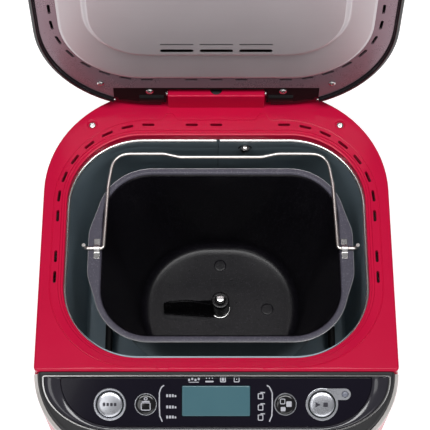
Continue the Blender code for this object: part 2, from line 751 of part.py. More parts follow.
def make_rings(panel):
    """Silver bezels round the two large buttons."""
    low, high = -PANEL_STACK, 0.0004
    inner = LARGE_R + 0.0002
    turned(
        "menu_bezel", [(RING_R, low), (RING_R, high), (inner, high), (inner, low)],
        ring=True, place=(*MENU_AT, 0.0), parent=panel, material=SILVER,
    )
    bezel = skin(
        "start_bezel", cylinder_loops(RING_R, (*START_AT, low), (*START_AT, high), 24),
        parent=panel, material=SILVER,
    )
    combine(bezel, cutter("start_pill", [pill_loops(0.0, low, high)], panel), "UNION")
    holes = [
        cylinder_loops(inner, (*START_AT, low - 0.01), (*START_AT, high + 0.01), 24),
        cylinder_loops(LAMP_R + GAP, (*PILL_END, low - 0.01), (*PILL_END, high + 0.01), 16),
    ]
    combine(bezel, cutter("start_bezel_holes", holes, panel))
    turned(
        "start_lamp", [(LAMP_R, low - 0.001), (LAMP_R, 0.0004), (LAMP_R * 0.65, 0.0009)],
        sides=16, place=(*PILL_END, 0.0), parent=panel, material=LAMP_LENS,
    )


def make_button(name, at, radius, material, panel):
    """A domed cap with a stem under it; its origin is on the panel's plane."""
    stem = BUTTON_STEM_R
    profile = [
        (stem, -BOARD_DEPTH + BUTTON_TRAVEL + 0.0005), (stem, -0.0036), (radius, -0.0036),
        (radius, 0.0004), (radius * 0.92, 0.0013), (radius * 0.50, 0.0018),
    ]
    turned(name, profile, sides=20, place=(*at, 0.0), parent=panel, material=material)


# ---- lid ----

def lid_points(points, z):
    """Points of the closed lid, measured from its hinge axis."""
    return [(x, y - HINGE_Y, z - HINGE_Z) for x, y in points]


def lid_shape(loops):
    return [[(x, y - HINGE_Y, z - HINGE_Z) for x, y, z in loop] for loop in loops]


def make_lid_rim(lid):
    z = DECK_TOP
    profile = [
        (0.0012, z + 0.0012), (0.0, z + 0.0030), (0.0, RIM_TOP), (WALL, RIM_TOP),
        (WALL, z + 0.0062), (RIM_BAND, z + 0.0062), (RIM_BAND, z + 0.0024),
        (RIM_BAND - 0.001, z + 0.0012),
    ]
    rim = skin(
        "lid_rim", [lid_points(lid_outline(inset), height) for inset, height in profile],
        ring=True, parent=lid, material=BLACK_GLOSS,
    )
    half = REAR_CUT_HALF
    rear = box_loops((-half, HINGE_Y - 0.007, z - 0.01), (half, HINGE_Y + 0.03, RIM_TOP + 0.01))
    combine(rim, cutter("lid_rim_rear_cut", [lid_shape(rear)], lid))


def make_lid_top(lid):
    base = RIM_TOP + GAP
    dome = [(0.046, 0.0285), (0.022, 0.0265), (0.009, 0.0215), (0.0025, 0.0130), (0.0, 0.0)]
    outer = [lid_points(lid_outline(inset), base + rise) for inset, rise in dome]
    inner = [
        lid_points(lid_outline(inset + WALL), base + max(rise - WALL, 0.0))
        for inset, rise in reversed(dome)
    ]
    top = skin("lid_top", outer + inner, parent=lid, material=RED, smooth=40.0)
    slots = []
    for i in range(LID_VENTS):
        y = REFLECTOR_BACK - 0.056 + i * SHELL_VENT_PITCH
        low, high = (-0.030, y, base + 0.01), (0.030, y + SHELL_VENT, base + 0.05)
        slots.append(lid_shape(box_loops(low, high)))
    combine(top, cutter("lid_top_vents", slots, lid))


def make_lid_frame(lid):
    low, high = FRAME_BOTTOM, FRAME_BOTTOM + FRAME_PLATE
    outer = lid_outline(RIM_BAND + GAP)
    inner = reflector_outline(0.004)
    corners = ((outer, low), (outer, high), (inner, high), (inner, low))
    loops = [lid_points(points, z) for points, z in corners]
    frame = skin("lid_inner_frame", loops, ring=True, parent=lid, material=FRAME_GREY)
    half, y = REAR_CUT_HALF, REAR_CUT_Y
    rear = lid_shape(box_loops((-half, y, low - 0.01), (half, y + 0.05, high + 0.01)))
    shapes = [lid_shape(loops) for loops in slot_shapes(low - 0.01, high + 0.01)]
    combine(frame, cutter("lid_frame_rear_cut", [rear], lid))
    combine(frame, cutter("lid_frame_slots", shapes, lid))
    x, y = LID_SCREW_AT
    holes = [lid_shape(screw_hole(s * x, y, low - 0.01, high + 0.01)) for s in (-1, 1)]
    combine(frame, cutter("lid_frame_screw_holes", holes, lid))

    def screw(side, s):
        place = (s * x, y - HINGE_Y, low - GAP - HINGE_Z)
        return make_screw(f"lid_screw_{side}", place, lid, flip=True)

    mirrored(screw)


def reflector_outline(inset=0.0):
    return outline(
        REFLECTOR_HALF, REFLECTOR_FRONT, REFLECTOR_BACK, (REFLECTOR_R, REFLECTOR_R),
        (REFLECTOR_R, REFLECTOR_R), inset,
    )


def plateau_outline(inset=0.0):
    side, ends = PLATEAU_INSET
    corner = REFLECTOR_R - 0.016
    return outline(
        REFLECTOR_HALF - side, REFLECTOR_FRONT + ends, REFLECTOR_BACK - ends,
        (corner, corner), (corner, corner), inset,
    )


def make_reflector(lid):
    flange = FRAME_BOTTOM - REFLECTOR_DROP
    face = flange - PLATEAU_RISE
    sheet = REFLECTOR_SHEET
    loops = [
        lid_points(plateau_outline(PLATEAU_BEVEL), face),
        lid_points(plateau_outline(0.0), flange),
        lid_points(reflector_outline(), flange),
        lid_points(reflector_outline(), flange + sheet),
        lid_points(plateau_outline(sheet / 2), flange + sheet),
        lid_points(plateau_outline(PLATEAU_BEVEL + sheet / 2), face + sheet),
    ]
    reflector = skin("lid_reflector", loops, parent=lid, material=REFLECTOR_STEEL)
    slots = []
    for y, width in VENT_ROWS:
        for i in (-1, 0, 1):
            x = i * VENT_PITCH
            slots.append(lid_shape(box_loops(
                (x - VENT_LENGTH / 2, y - width / 2, face - 0.01),
                (x + VENT_LENGTH / 2, y + width / 2, flange + 0.01),
            )))
    combine(reflector, cutter("reflector_vents", slots, lid))


def make_lid_hinge(side, sign, lid):
    """Knuckle round the hinge pin, with an arm screwed to the lid's frame."""
    near = BLOCK_HALF + HINGE_GAP
    far = near + KNUCKLE_LENGTH
    knuckle = cylinder_loops(KNUCKLE_R, (sign * near, 0.0, 0.0), (sign * far, 0.0, 0.0))
    hinge = skin(f"lid_hinge_{side}", knuckle, parent=lid, material=BLACK_MATT)
    x0, x1 = sorted((sign * near, sign * (near + HINGE_WIDTH)))
    low = FRAME_BOTTOM + FRAME_PLATE + GAP - HINGE_Z
    arm = box_loops((x0, -ARM_REACH, low), (x1, 0.003, low + ARM_THICK))
    combine(hinge, cutter(f"lid_hinge_arm_{side}", [arm], lid), "UNION")
    bore = cylinder_loops(
        HINGE_PIN_R + RUNNING, (sign * (near - 0.01), 0.0, 0.0), (sign * (far + 0.02), 0.0, 0.0)
    )
    combine(hinge, cutter(f"lid_hinge_bore_{side}", [bore], lid))
    hole = screw_hole(sign * (near + 0.0115), -KNUCKLE_R - 0.0014, low - 0.01, low + 0.02)
    combine(hinge, cutter(f"lid_hinge_hole_{side}", [hole], lid))


def make_lid_grip(lid):
    """Lip that a hand lifts the lid by, at its front edge."""
    z, y = DECK_TOP, -LID_OVERHANG - GAP

    def section(x, reach):
        return [
            (x, y, z + 0.018), (x, y, z + 0.007), (x, y - reach, z + 0.010), (x, y - reach, z + 0.015)
        ]

    sections = [section(x, reach) for x, reach in GRIP]
    skin("lid_grip", lid_shape(sections), parent=lid, material=BLACK_GLOSS)


# ---- oven chamber ----

def liner_outline(inset=0.0):
    front, back = OPEN_FRONT + LINER_ENDS[0], OPEN_BACK + LINER_ENDS[1]
    return outline(OPEN_HALF + LINER_SIDE, front, back, (OPEN_R, OPEN_R), (OPEN_R, OPEN_R), inset)


def make_liner(root):
    top, floor, t = LINER_TOP, CHAMBER_FLOOR, LINER_WALL
    loops = [
        at_height(liner_outline(0.010), floor - t),
        at_height(liner_outline(0.003), floor - t),
        at_height(liner_outline(0.0), floor + 0.004),
        at_height(liner_outline(0.0), top - t),
        at_height(liner_outline(-LINER_FLANGE), top - t),
        at_height(liner_outline(-LINER_FLANGE), top),
        at_height(liner_outline(t), top),
        at_height(liner_outline(t), floor + 0.004),
        at_height(liner_outline(0.003 + t), floor),
        at_height(liner_outline(0.010), floor),
    ]
    liner = skin("oven_liner", loops, parent=root, material=LINER_STEEL)
    back = OPEN_BACK + LINER_ENDS[1]
    x, z = SENSOR_AT

    def back_hole(radius, x, z):
        return cylinder_loops(radius, (x, back - 0.01, z), (x, back + 0.01, z), 16)

    low, high = (PAN_X, PAN_Y, floor - 0.01), (PAN_X, PAN_Y, floor + 0.01)
    holes = [cylinder_loops(BEARING_R + 0.0005, low, high), back_hole(SENSOR_R + GAP, x, z)]
    for sign in (-1, 1):
        holes.append(back_hole(ELEMENT_R + 0.0006, PAN_X + sign * ELEMENT_ENDS, ELEMENT_Z))
    combine(liner, cutter("liner_holes", holes, root))
    head = SENSOR_R * 1.5
    sensor = turned(
        "temperature_sensor",
        [(SENSOR_R * 0.7, -0.010), (SENSOR_R, -0.009), (SENSOR_R, t + GAP), (head, t + GAP),
         (head, 0.006)],
        sides=16, place=(x, back - t, z), parent=root, material=STEEL,
    )
    sensor.rotation_euler = (-math.pi / 2, 0.0, 0.0)


def make_element(root):
    """Tubular heater: one loop round the foot of the pan, its ends through the back wall."""
    half, ends, z = ELEMENT_HALF, ELEMENT_ENDS, ELEMENT_Z
    front, back = PAN_Y - PAN_RIM[1] - 0.0095, PAN_Y + PAN_RIM[1] + 0.0115
    out = OPEN_BACK + LINER_ENDS[1] + 0.006
    right = [(half, front), (half, back), (ends, back), (ends, out)]
    left = [(-x, y) for x, y in reversed(right)]
    corners = [(PAN_X + x, y, z) for x, y in left + right]
    radii = [0.008, ELEMENT_BEND, ELEMENT_BEND, ELEMENT_BEND, ELEMENT_BEND, 0.008]
    path = rounded_path(corners, radii)
    skin("heating_element", tube_loops(path, ELEMENT_R, 8), parent=root, material=BLACK_MATT)

    def clip(side, sign):
        x, y = PAN_X + sign * half, PAN_Y
        low = CHAMBER_FLOOR + GAP
        wide, thin = CLIP
        plate = skin(
            f"element_clip_{side}",
            box_loops((x - wide, y - thin, low), (x + wide, y + thin, z + ELEMENT_R + 0.0047)),
            parent=root, material=STEEL,
        )
        foot = box_loops((x - wide, y - thin, low), (x + wide, y + 0.010, low + 0.001))
        combine(plate, cutter(f"element_clip_foot_{side}", [foot], root), "UNION")
        hole = cylinder_loops(ELEMENT_R + 0.0005, (x, y - 0.01, z), (x, y + 0.01, z), 16)
        return combine(plate, cutter(f"element_clip_hole_{side}", [hole], root))

    mirrored(clip)


# ---- belt drive ----

def make_motor(root):
    """Upright motor on a bridge in the nose, its shaft and pulley pointing down."""
    bridge = PULLEY_Z + PULLEY_WIDTH + 0.003
    top = bridge + BRACKET_SHEET
    low = top + GAP
    journal = MOTOR_SHAFT_R + 0.0015
    turned(
        "motor",
        [(journal, low + 0.012), (journal, low), (MOTOR_R - 0.002, low), (MOTOR_R, low + 0.002),
         (MOTOR_R, low + MOTOR_HEIGHT - 0.003), (MOTOR_R - 0.003, low + MOTOR_HEIGHT)],
        place=(MOTOR_X, MOTOR_Y, 0.0), parent=root, material=CAST,
    )
    base = FOOT_HEIGHT + BASE_PLATE + GAP
    x, y = MOTOR_X, MOTOR_Y
    half, leg = MOTOR_R + 0.008, BRACKET_SHEET
    front, back = y - 0.016, y + 0.014
    bracket = skin(
        "motor_bracket", box_loops((x - half, front, base), (x + half, back, top)),
        parent=root, material=STEEL,
    )
    under = box_loops(
        (x - half + leg, front - 0.01, base - 0.01), (x + half - leg, back + 0.01, bridge)
    )
    hole = cylinder_loops(journal + 0.002, (x, y, bridge - 0.01), (x, y, top + 0.01))
    combine(bracket, cutter("motor_bracket_space", [under], root))
    combine(bracket, cutter("motor_bracket_hole", [hole], root))
    rotor = empty("motor_axis", (x, y, PULLEY_Z), root)
    turned(
        "motor_shaft", [(MOTOR_SHAFT_R, -0.001), (MOTOR_SHAFT_R, low + 0.010 - PULLEY_Z)],
        parent=rotor, material=STEEL,
    )
    bore = MOTOR_SHAFT_R + GAP
    turned(
        "motor_pulley",
        [(bore, 0.0), (MOTOR_PULLEY_R, 0.0), (MOTOR_PULLEY_R, PULLEY_WIDTH), (bore, PULLEY_WIDTH)],
        ring=True, parent=rotor, material=CAST,
    )


def make_drive(root):
    """Shaft under the pan with its pulley and coupling, in a bearing under the chamber's floor."""
    axis = empty("drive_axis", (PAN_X, PAN_Y, PULLEY_Z), root)
    disc = COUPLING_FLOOR - PULLEY_Z
    turned(
        "drive_shaft", [(SHAFT_R, -0.002), (SHAFT_R, disc + 0.0017)], parent=axis, material=STEEL
    )
    bore, radius = SHAFT_R + GAP, DRIVE_PULLEY_R
    turned(
        "drive_pulley",
        [(bore, -0.001), (bore + 0.005, -0.001), (bore + 0.007, 0.0), (radius, 0.0),
         (radius, PULLEY_WIDTH), (radius - 0.004, PULLEY_WIDTH), (radius - 0.004, 0.005),
         (bore, 0.005)],
        ring=True, sides=32, parent=axis, material=CAST,
    )
    coupling = turned(
        "drive_coupling",
        [(bore, disc), (COUPLING_R, disc), (COUPLING_R, disc + 0.003), (bore, disc + 0.003)],
        ring=True, parent=axis, material=STEEL,
    )
    lug, middle = 0.0022, COUPLING_R - 0.003
    lugs = [
        box_loops((-0.0035, s * middle - lug, disc + 0.001), (0.0035, s * middle + lug, disc + 0.0105))
        for s in (-1, 1)
    ]
    combine(coupling, cutter("drive_lugs", lugs, axis), "UNION")
    inner = SHAFT_R + RUNNING
    under = CHAMBER_FLOOR - LINER_WALL - GAP
    top = COUPLING_FLOOR - 0.0004
    neck, flange = SHAFT_R + 0.006, BEARING_R + 0.0092
    turned(
        "drive_bearing",
        [(inner, under - 0.010), (neck, under - 0.010), (neck, under - 0.004),
         (flange, under - 0.004), (flange, under), (BEARING_R, under), (BEARING_R, top), (inner, top)],
        ring=True, place=(PAN_X, PAN_Y, 0.0), parent=root, material=CAST,
    )


def belt_loop(offset):
    """The belt's path round both pulleys, at a distance from their faces."""
    a, b = Vector((MOTOR_X, MOTOR_Y)), Vector((PAN_X, PAN_Y))
    small, large = MOTOR_PULLEY_R + offset, DRIVE_PULLEY_R + offset
    along = b - a
    heading = math.atan2(along.y, along.x)
    lean = math.asin((large - small) / along.length)
    points = []
    for centre, radius, start, sweep, steps in (
        (b, large, heading - math.pi / 2 - lean, math.pi + 2 * lean, 24),
        (a, small, heading + math.pi / 2 + lean, math.pi - 2 * lean, 12),
    ):
        for i in range(steps + 1):
            angle = start + sweep * i / steps
            spoke = Vector((math.cos(angle), math.sin(angle)))
            points.append(tuple(centre + radius * spoke))
    return points


def make_belt(root):
    low = PULLEY_Z + (PULLEY_WIDTH - BELT_WIDTH) / 2
    high = low + BELT_WIDTH
    inner, outer = belt_loop(GAP), belt_loop(GAP + BELT_THICK)
    corners = ((inner, low), (outer, low), (outer, high), (inner, high))
    loops = [at_height(points, z) for points, z in corners]
    skin("drive_belt", loops, ring=True, parent=root, material=RUBBER)


# ---- pan, handle and paddle ----

def pan_outline(share, offset=0.0):
    """The pan's inner outline, from its foot (share 0) to its rim (share 1), about its middle."""
    half, depth, corner = [a + share * (b - a) for a, b in zip(PAN_FOOT, PAN_RIM)]
    return outline(half, -depth, depth, (corner, corner), (corner, corner), -offset, side_points=3)


def flange_outline():
    """The rim's outer edge, with an ear at each side for the handle's bracket."""
    points = []
    for x, y in pan_outline(1.0, PAN_FLANGE):
        reach = min(max((EAR_HALF + EAR_TAPER - abs(y)) / EAR_TAPER, 0.0), 1.0)
        side = abs(x) / (PAN_RIM[0] + PAN_FLANGE)
        grow = EAR_WIDTH * reach if side > 0.8 else 0.0
        points.append((x + math.copysign(grow, x), y))
    return points


def make_pan(pan):
    rim, floor, t = PAN_RIM_Z, PAN_FLOOR_Z, PAN_WALL
    depth = rim - floor
    low = floor - t
    loops = [
        at_height(pan_outline(0.0, -0.008), low),
        at_height(pan_outline(0.02, -0.0010), low + 0.003),
        at_height(pan_outline(0.08, t), low + 0.010),
        at_height(pan_outline(1.0, t), rim - 0.006),
        at_height(pan_outline(1.0, 0.0035), rim - t),
        at_height(flange_outline(), rim - t),
        at_height(flange_outline(), rim),
        at_height(pan_outline(1.0, 0.0025), rim),
        at_height(pan_outline(1.0), rim - 0.003),
        at_height(pan_outline(0.08), floor + 0.075 * depth),
        at_height(pan_outline(0.02, -0.0020), floor + 0.003),
        at_height(pan_outline(0.0, -0.010), floor),
    ]
    body = skin("pan", loops, parent=pan, material=NON_STICK)
    bore = cylinder_loops(SHAFT_R + RUNNING, (0.0, 0.0, low - 0.01), (0.0, 0.0, floor + 0.01))
    combine(body, cutter("pan_bore", [bore], pan))
    make_pan_base(low - GAP, pan)
    make_pan_bearing(low - GAP, pan)


def make_pan_base(top, pan):
    """The ring that the pan stands on in the chamber."""
    foot, bottom = PAN_BASE_R, CHAMBER_FLOOR + GAP
    turned(
        "pan_base",
        [(foot - 0.002, top), (foot, top), (foot, bottom + 0.003), (foot + 0.003, bottom),
         (foot - 0.002, bottom)],
        ring=True, parent=pan, material=CAST,
    )


def make_pan_bearing(top, pan):
    """Bearing under the pan's floor and the seal above it, round the kneading shaft."""
    inner, seat = SHAFT_R + RUNNING, PAN_FLOOR_Z + GAP
    turned(
        "pan_bearing",
        [(inner, top), (SHAFT_R + 0.009, top), (SHAFT_R + 0.009, top - 0.005),
         (SHAFT_R + 0.004, top - 0.012), (inner, top - 0.012)],
        ring=True, parent=pan, material=CAST,
    )
    turned(
        "pan_seal",
        [(inner, seat), (SHAFT_R + 0.0053, seat), (SHAFT_R + 0.0048, PAN_FLOOR_Z + SEAL_HEIGHT),
         (inner, PAN_FLOOR_Z + SEAL_HEIGHT)],
        ring=True, parent=pan, material=STEEL,
    )


def make_pan_drive(pan):
    axis = empty("pan_shaft_axis", (0.0, 0.0, PAN_FLOOR_Z), pan)
    turned(
        "pan_shaft",
        [(SHAFT_R, -0.0255), (SHAFT_R, SHAFT_HEIGHT - 0.001), (SHAFT_R - 0.001, SHAFT_HEIGHT)],
        parent=axis, material=STEEL,
    )
    low, high = -0.0250, -0.0155
    bore = SHAFT_R + GAP
    sleeve = bore + 0.0019
    wing = turned(
        "pan_coupling", [(bore, low), (sleeve, low), (sleeve, high), (bore, high)],
        ring=True, parent=axis, material=STEEL,
    )
    bars = []
    for s in (-1, 1):
        near, far = sorted((s * (sleeve - 0.0007), s * COUPLING_R))
        bars.append(box_loops((near, -0.0022, low), (far, 0.0022, low + 0.007)))
    combine(wing, cutter("pan_wings", bars, axis), "UNION")


def make_paddle(pan):
    axis = empty("paddle_axis", (0.0, 0.0, PAN_FLOOR_Z), pan)
    foot = SEAL_HEIGHT + GAP
    inner, outer = SHAFT_R + PADDLE_PLAY, SHAFT_R + HUB_WALL
    hub = turned(
        "paddle",
        [(inner, foot), (outer, foot), (outer - 0.0006, foot + HUB_HEIGHT),
         (inner, foot + HUB_HEIGHT)],
        ring=True, parent=axis, material=NON_STICK,
    )
    combine(hub, cutter("paddle_blade", [paddle_blade(foot)], axis), "UNION")


def paddle_blade(foot):
    """A thin blade on the left of the hub, its top edge curving up to a tip."""
    reach, start = PADDLE_REACH, SHAFT_R + 0.0015
    steps = 8
    top = []
    for i in range(steps + 1):
        t = i / steps
        x = -start - t * (reach - start)
        top.append((x, foot + 0.011 + 0.006 * math.sin(math.pi * t) ** 2 + 0.006 * t))
    points = [(-start, foot + 0.0005), *top, (-reach + 0.004, foot + 0.0005)]
    return [[(x, y, z) for x, z in points] for y in (-0.0022, 0.0022)]


def make_bail(pan):
    """Wire handle lying back on the pan's rim, its ends hooked up outside the brackets."""
    swing = empty("bail_axis", (0.0, BAIL_Y - PAN_Y, BAIL_Z), pan)
    flange = PAN_RIM[0] + PAN_FLANGE
    inside, outside = flange - 0.0070, flange + EAR_WIDTH + WIRE_R + 0.001
    right = [
        (outside, 0.0, BAIL_HOOK), (outside, 0.0, 0.0), (inside, 0.0, 0.0),
        (inside - 0.0020, 0.66 * BAIL_REACH, 0.0), (inside - 0.0060, BAIL_REACH, 0.0),
        (0.047, BAIL_REACH, 0.0), (0.034, BAIL_REACH - BAIL_DIP, 0.0),
    ]
    left = [(-x, y, z) for x, y, z in reversed(right)]
    radii = [WIRE_R + 0.0017, WIRE_R + 0.0013, 0.040, 0.022, 0.012, 0.010]
    path = rounded_path(right + left, radii + radii[::-1], 3)
    skin("bail_handle", tube_loops(path, WIRE_R, 8), parent=swing, material=WIRE_STEEL)


def make_handle_brackets(pan):
    """Straps over the handle's wire, their tabs on the rim's ears."""
    inner = WIRE_R + 0.0001
    outer = inner + STRAP_SHEET
    base = PAN_RIM_Z + GAP - BAIL_Z
    end = outer + STRAP_TAB
    arc = [math.pi * i / 10 for i in range(11)]
    over = [(outer * math.cos(a), outer * math.sin(a)) for a in arc]
    under = [(-inner * math.cos(a), inner * math.sin(a)) for a in arc]
    top = [(end, base), (end, base + STRAP_SHEET), *over, (-end, base + STRAP_SHEET), (-end, base)]
    profile = [*top, (-inner, base), *under, (inner, base)]
    middle = PAN_RIM[0] + PAN_FLANGE + EAR_WIDTH - STRAP_WIDTH - 0.0025

    def strap(side, sign):
        ends = [sign * middle + s * STRAP_WIDTH / 2 for s in (-1, 1)]
        loops = [[(x, y, z) for y, z in profile] for x in ends]
        skin(
            f"handle_bracket_{side}", loops, place=(0.0, BAIL_Y - PAN_Y, BAIL_Z), parent=pan,
            material=STEEL,
        )

    mirrored(strap)


def centre_on_footprint(root):
    """Moves everything so that the origin is under the middle of the whole machine."""
    bpy.context.view_layer.update()
    corners = [
        thing.matrix_world @ vertex.co
        for thing in bpy.context.scene.objects
        if thing.type == "MESH" and not thing.hide_render
        for vertex in thing.data.vertices
    ]
    low = [min(c[k] for c in corners) for k in range(3)]
    high = [max(c[k] for c in corners) for k in range(3)]
    root.location = (-(low[0] + high[0]) / 2, -(low[1] + high[1]) / 2, -low[2])


def main():
    clear_scene()
    root = empty("bread_machine", (0.0, 0.0, 0.0))
    make_base(root)
    make_shell(root)
    make_deck(root)
    make_hinge_block(root)
    make_cord_inlet(root)
    make_fascia(root)
    make_fascia_edge(root)
    panel = empty("panel_plane", (0.0, *PANEL_EDGE), root, (PANEL_SLOPE, 0.0, 0.0))
    make_panel(panel)
    make_rings(panel)
    for name, at, radius, material in (
        ("menu_button", MENU_AT, LARGE_R, SILVER),
        ("start_button", START_AT, LARGE_R, SILVER),
        ("loaf_button", LOAF_AT, SMALL_R, BLACK_GLOSS),
        ("crust_button", CRUST_AT, SMALL_R, BLACK_GLOSS),
    ):
        make_button(name, at, radius, material, panel)
    make_liner(root)
    make_element(root)
    make_motor(root)
    make_drive(root)
    make_belt(root)
    lid = empty("lid_axis", (0.0, HINGE_Y, HINGE_Z), root, (-LID_OPEN, 0.0, 0.0))
    make_lid_rim(lid)
    make_lid_top(lid)
    make_lid_frame(lid)
    make_reflector(lid)
    mirrored(lambda side, sign: make_lid_hinge(side, sign, lid))
    make_lid_grip(lid)
    pan = empty("pan_axis", (PAN_X, PAN_Y, 0.0), root)
    make_pan(pan)
    make_pan_drive(pan)
    make_paddle(pan)
    make_bail(pan)
    make_handle_brackets(pan)
    centre_on_footprint(root)


main()
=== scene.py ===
# %% [markdown]
# # A bread machine with its lid open
# The imported model is loaded first and never moved. It already has every joint, so this file only
# adds the looks: finer meshes that stand for the plain CAD solids, and a finish for each of them.

# %% Load the frame
import json
import math

import bmesh
import bpy
from mathutils import Matrix, Vector


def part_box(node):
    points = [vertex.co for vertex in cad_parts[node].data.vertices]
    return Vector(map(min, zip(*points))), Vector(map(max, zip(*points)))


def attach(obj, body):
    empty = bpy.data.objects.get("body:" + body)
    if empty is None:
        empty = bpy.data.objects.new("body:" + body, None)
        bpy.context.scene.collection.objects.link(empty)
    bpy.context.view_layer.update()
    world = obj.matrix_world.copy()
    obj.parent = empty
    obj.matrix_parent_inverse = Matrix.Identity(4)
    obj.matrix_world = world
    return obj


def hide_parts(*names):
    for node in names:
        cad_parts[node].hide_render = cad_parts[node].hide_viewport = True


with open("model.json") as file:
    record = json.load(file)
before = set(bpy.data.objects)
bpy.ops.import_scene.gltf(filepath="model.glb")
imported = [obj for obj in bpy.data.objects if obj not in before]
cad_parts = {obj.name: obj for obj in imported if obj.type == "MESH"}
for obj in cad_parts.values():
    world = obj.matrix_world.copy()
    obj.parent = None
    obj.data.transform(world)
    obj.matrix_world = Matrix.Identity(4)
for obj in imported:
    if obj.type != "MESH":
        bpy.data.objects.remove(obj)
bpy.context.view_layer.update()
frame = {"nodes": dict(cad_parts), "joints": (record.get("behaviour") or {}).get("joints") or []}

# %% [markdown]
# ## Three places to build in
# The machine has three natural planes: its level deck, the lid and the sloping control panel. Each
# piece is modelled lying flat in the plane it belongs to, and one matrix then carries it into
# place. The deck's plane starts at its front edge, so y is the distance back from there and z the
# height over the deck. The lid is modelled shut and turned open about its real hinge.

# %% Deck, lid and panel planes
JOINTS = {joint["name"]: joint for joint in frame["joints"]}
DECK_LOW, DECK_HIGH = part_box("top_deck")
HALF, DEPTH = DECK_HIGH.x, DECK_HIGH.y - DECK_LOW.y
DECK = Matrix.Translation((0.0, DECK_LOW.y, DECK_HIGH.z))
HINGE = Vector(JOINTS["lid_hinge"]["pos_m"])
OPENING = math.radians(JOINTS["lid_hinge"]["range_deg"][0])
LID_TURN = Matrix.Translation(HINGE) @ Matrix.Rotation(OPENING, 4, "X") @ Matrix.Translation(-HINGE)
LID = LID_TURN @ DECK
PUSH = Vector(JOINTS["menu_button_press"]["axis"])
SLOPE = math.atan2(PUSH.y, -PUSH.z)
PANEL = DECK @ Matrix.Translation((0.0, -0.0005, -0.001)) @ Matrix.Rotation(SLOPE, 4, "X")


def box_in(plane, node):
    """Lowest and highest corner of a CAD node, measured in one of the planes."""
    points = [plane.inverted() @ v.co for v in frame["nodes"][node].data.vertices]
    low = Vector([min(p[k] for p in points) for k in range(3)])
    high = Vector([max(p[k] for p in points) for k in range(3)])
    return low, high


print(f"deck {2 * HALF:.4f} x {DEPTH:.4f}, slope {math.degrees(SLOPE):.1f} degrees")
for name in ("lid_rim", "lid_inner_frame", "lid_reflector"):
    print(name, [tuple(round(v, 4) for v in corner) for corner in box_in(LID, name)])
for name in ("control_panel", "panel_trim", "lcd_window"):
    print(name, [tuple(round(v, 4) for v in corner) for corner in box_in(PANEL, name)])

# %% [markdown]
# ## The camera
# It looks down at 66 degrees from in front, about a metre from the deck, with a long lens, so that
# the machine's sides hardly converge. There is no tilt and no depth of field.

# %% Camera
VIEW_ANGLE = math.radians(66.0)
VIEW_DISTANCE = 1.047
target = Vector((-0.001, DECK_LOW.y + 0.1284, DECK_HIGH.z))
back = Vector((0.0, -math.cos(VIEW_ANGLE), math.sin(VIEW_ANGLE)))
camera = bpy.data.objects.new("camera", bpy.data.cameras.new("camera"))
bpy.context.scene.collection.objects.link(camera)
camera.location = target + VIEW_DISTANCE * back
camera.rotation_mode = "QUATERNION"
camera.rotation_quaternion = (-back).to_track_quat("-Z", "Y")
camera.data.lens = 110.8
camera.data.clip_start, camera.data.clip_end = 0.05, 30.0
bpy.context.scene.camera = camera
print("camera at", tuple(round(v, 4) for v in camera.location))

# %% [markdown]
# ## Studio
# Glossy plastic and steel are seen by what they mirror, so the light comes from large soft sources:
# a dim room all round, one wide softbox overhead, a weak one in front and a small one that the
# left of the panel mirrors. They stand clear of what the level deck mirrors, so that its red stays
# deep. The floor glows, as a light table does, which keeps the ground under the machine pale.

# %% Floor and lights
scene = bpy.context.scene
scene.view_settings.view_transform = "Standard"
room = bpy.data.worlds.new("room")
room.use_nodes = True
room.node_tree.nodes["Background"].inputs["Color"].default_value = (0.97, 0.98, 1.0, 1.0)
room.node_tree.nodes["Background"].inputs["Strength"].default_value = 0.11
scene.world = room


def softbox(name, place, aim, size, power):
    lamp = bpy.data.lights.new(name, "AREA")
    lamp.shape = "RECTANGLE"
    lamp.size, lamp.size_y = size
    lamp.energy = power
    holder = bpy.data.objects.new(name, lamp)
    scene.collection.objects.link(holder)
    holder.location = place
    holder.rotation_mode = "QUATERNION"
    holder.rotation_quaternion = (Vector(aim) - Vector(place)).to_track_quat("-Z", "Y")
    return holder


softbox("overhead_softbox", (0.0, -0.2, 2.3), (0.0, 0.0, 0.2), (2.4, 0.75), 42.0)
softbox("front_softbox", (0.3, -2.1, 0.9), (0.0, 0.0, 0.3), (1.8, 0.9), 9.0)
softbox("panel_softbox", (-0.5, -0.98, 1.46), (0.0, -0.15, 0.22), (0.42, 0.5), 1.2)
floor_mesh = bpy.data.meshes.new("studio_floor")
floor_mesh.from_pydata(
    [(-6.0, -6.0, 0.0), (6.0, -6.0, 0.0), (6.0, 6.0, 0.0), (-6.0, 6.0, 0.0)], [], [(0, 1, 2, 3)]
)
floor = bpy.data.objects.new("studio_floor", floor_mesh)
scene.collection.objects.link(floor)
floor_paint = bpy.data.materials.new("studio_floor")
floor_paint.use_nodes = True
floor_shader = floor_paint.node_tree.nodes["Principled BSDF"]
floor_shader.inputs["Base Color"].default_value = (0.92, 0.92, 0.92, 1.0)
floor_shader.inputs["Roughness"].default_value = 0.9
floor_shader.inputs["Emission Color"].default_value = (1.0, 1.0, 1.0, 1.0)
floor_shader.inputs["Emission Strength"].default_value = 0.6
floor_mesh.materials.append(floor_paint)
print("lights:", ", ".join(lamp.name for lamp in bpy.data.lights))

# %% [markdown]
# ## Writing finishes as arithmetic
# A finish is a Principled shader with a few patterns feeding it. Patterns are easiest to read as
# sums and products, so a Wire stands for one output of a node and adds Math nodes when it is
# added or multiplied. A Finish owns the shader and has one method that places any node.

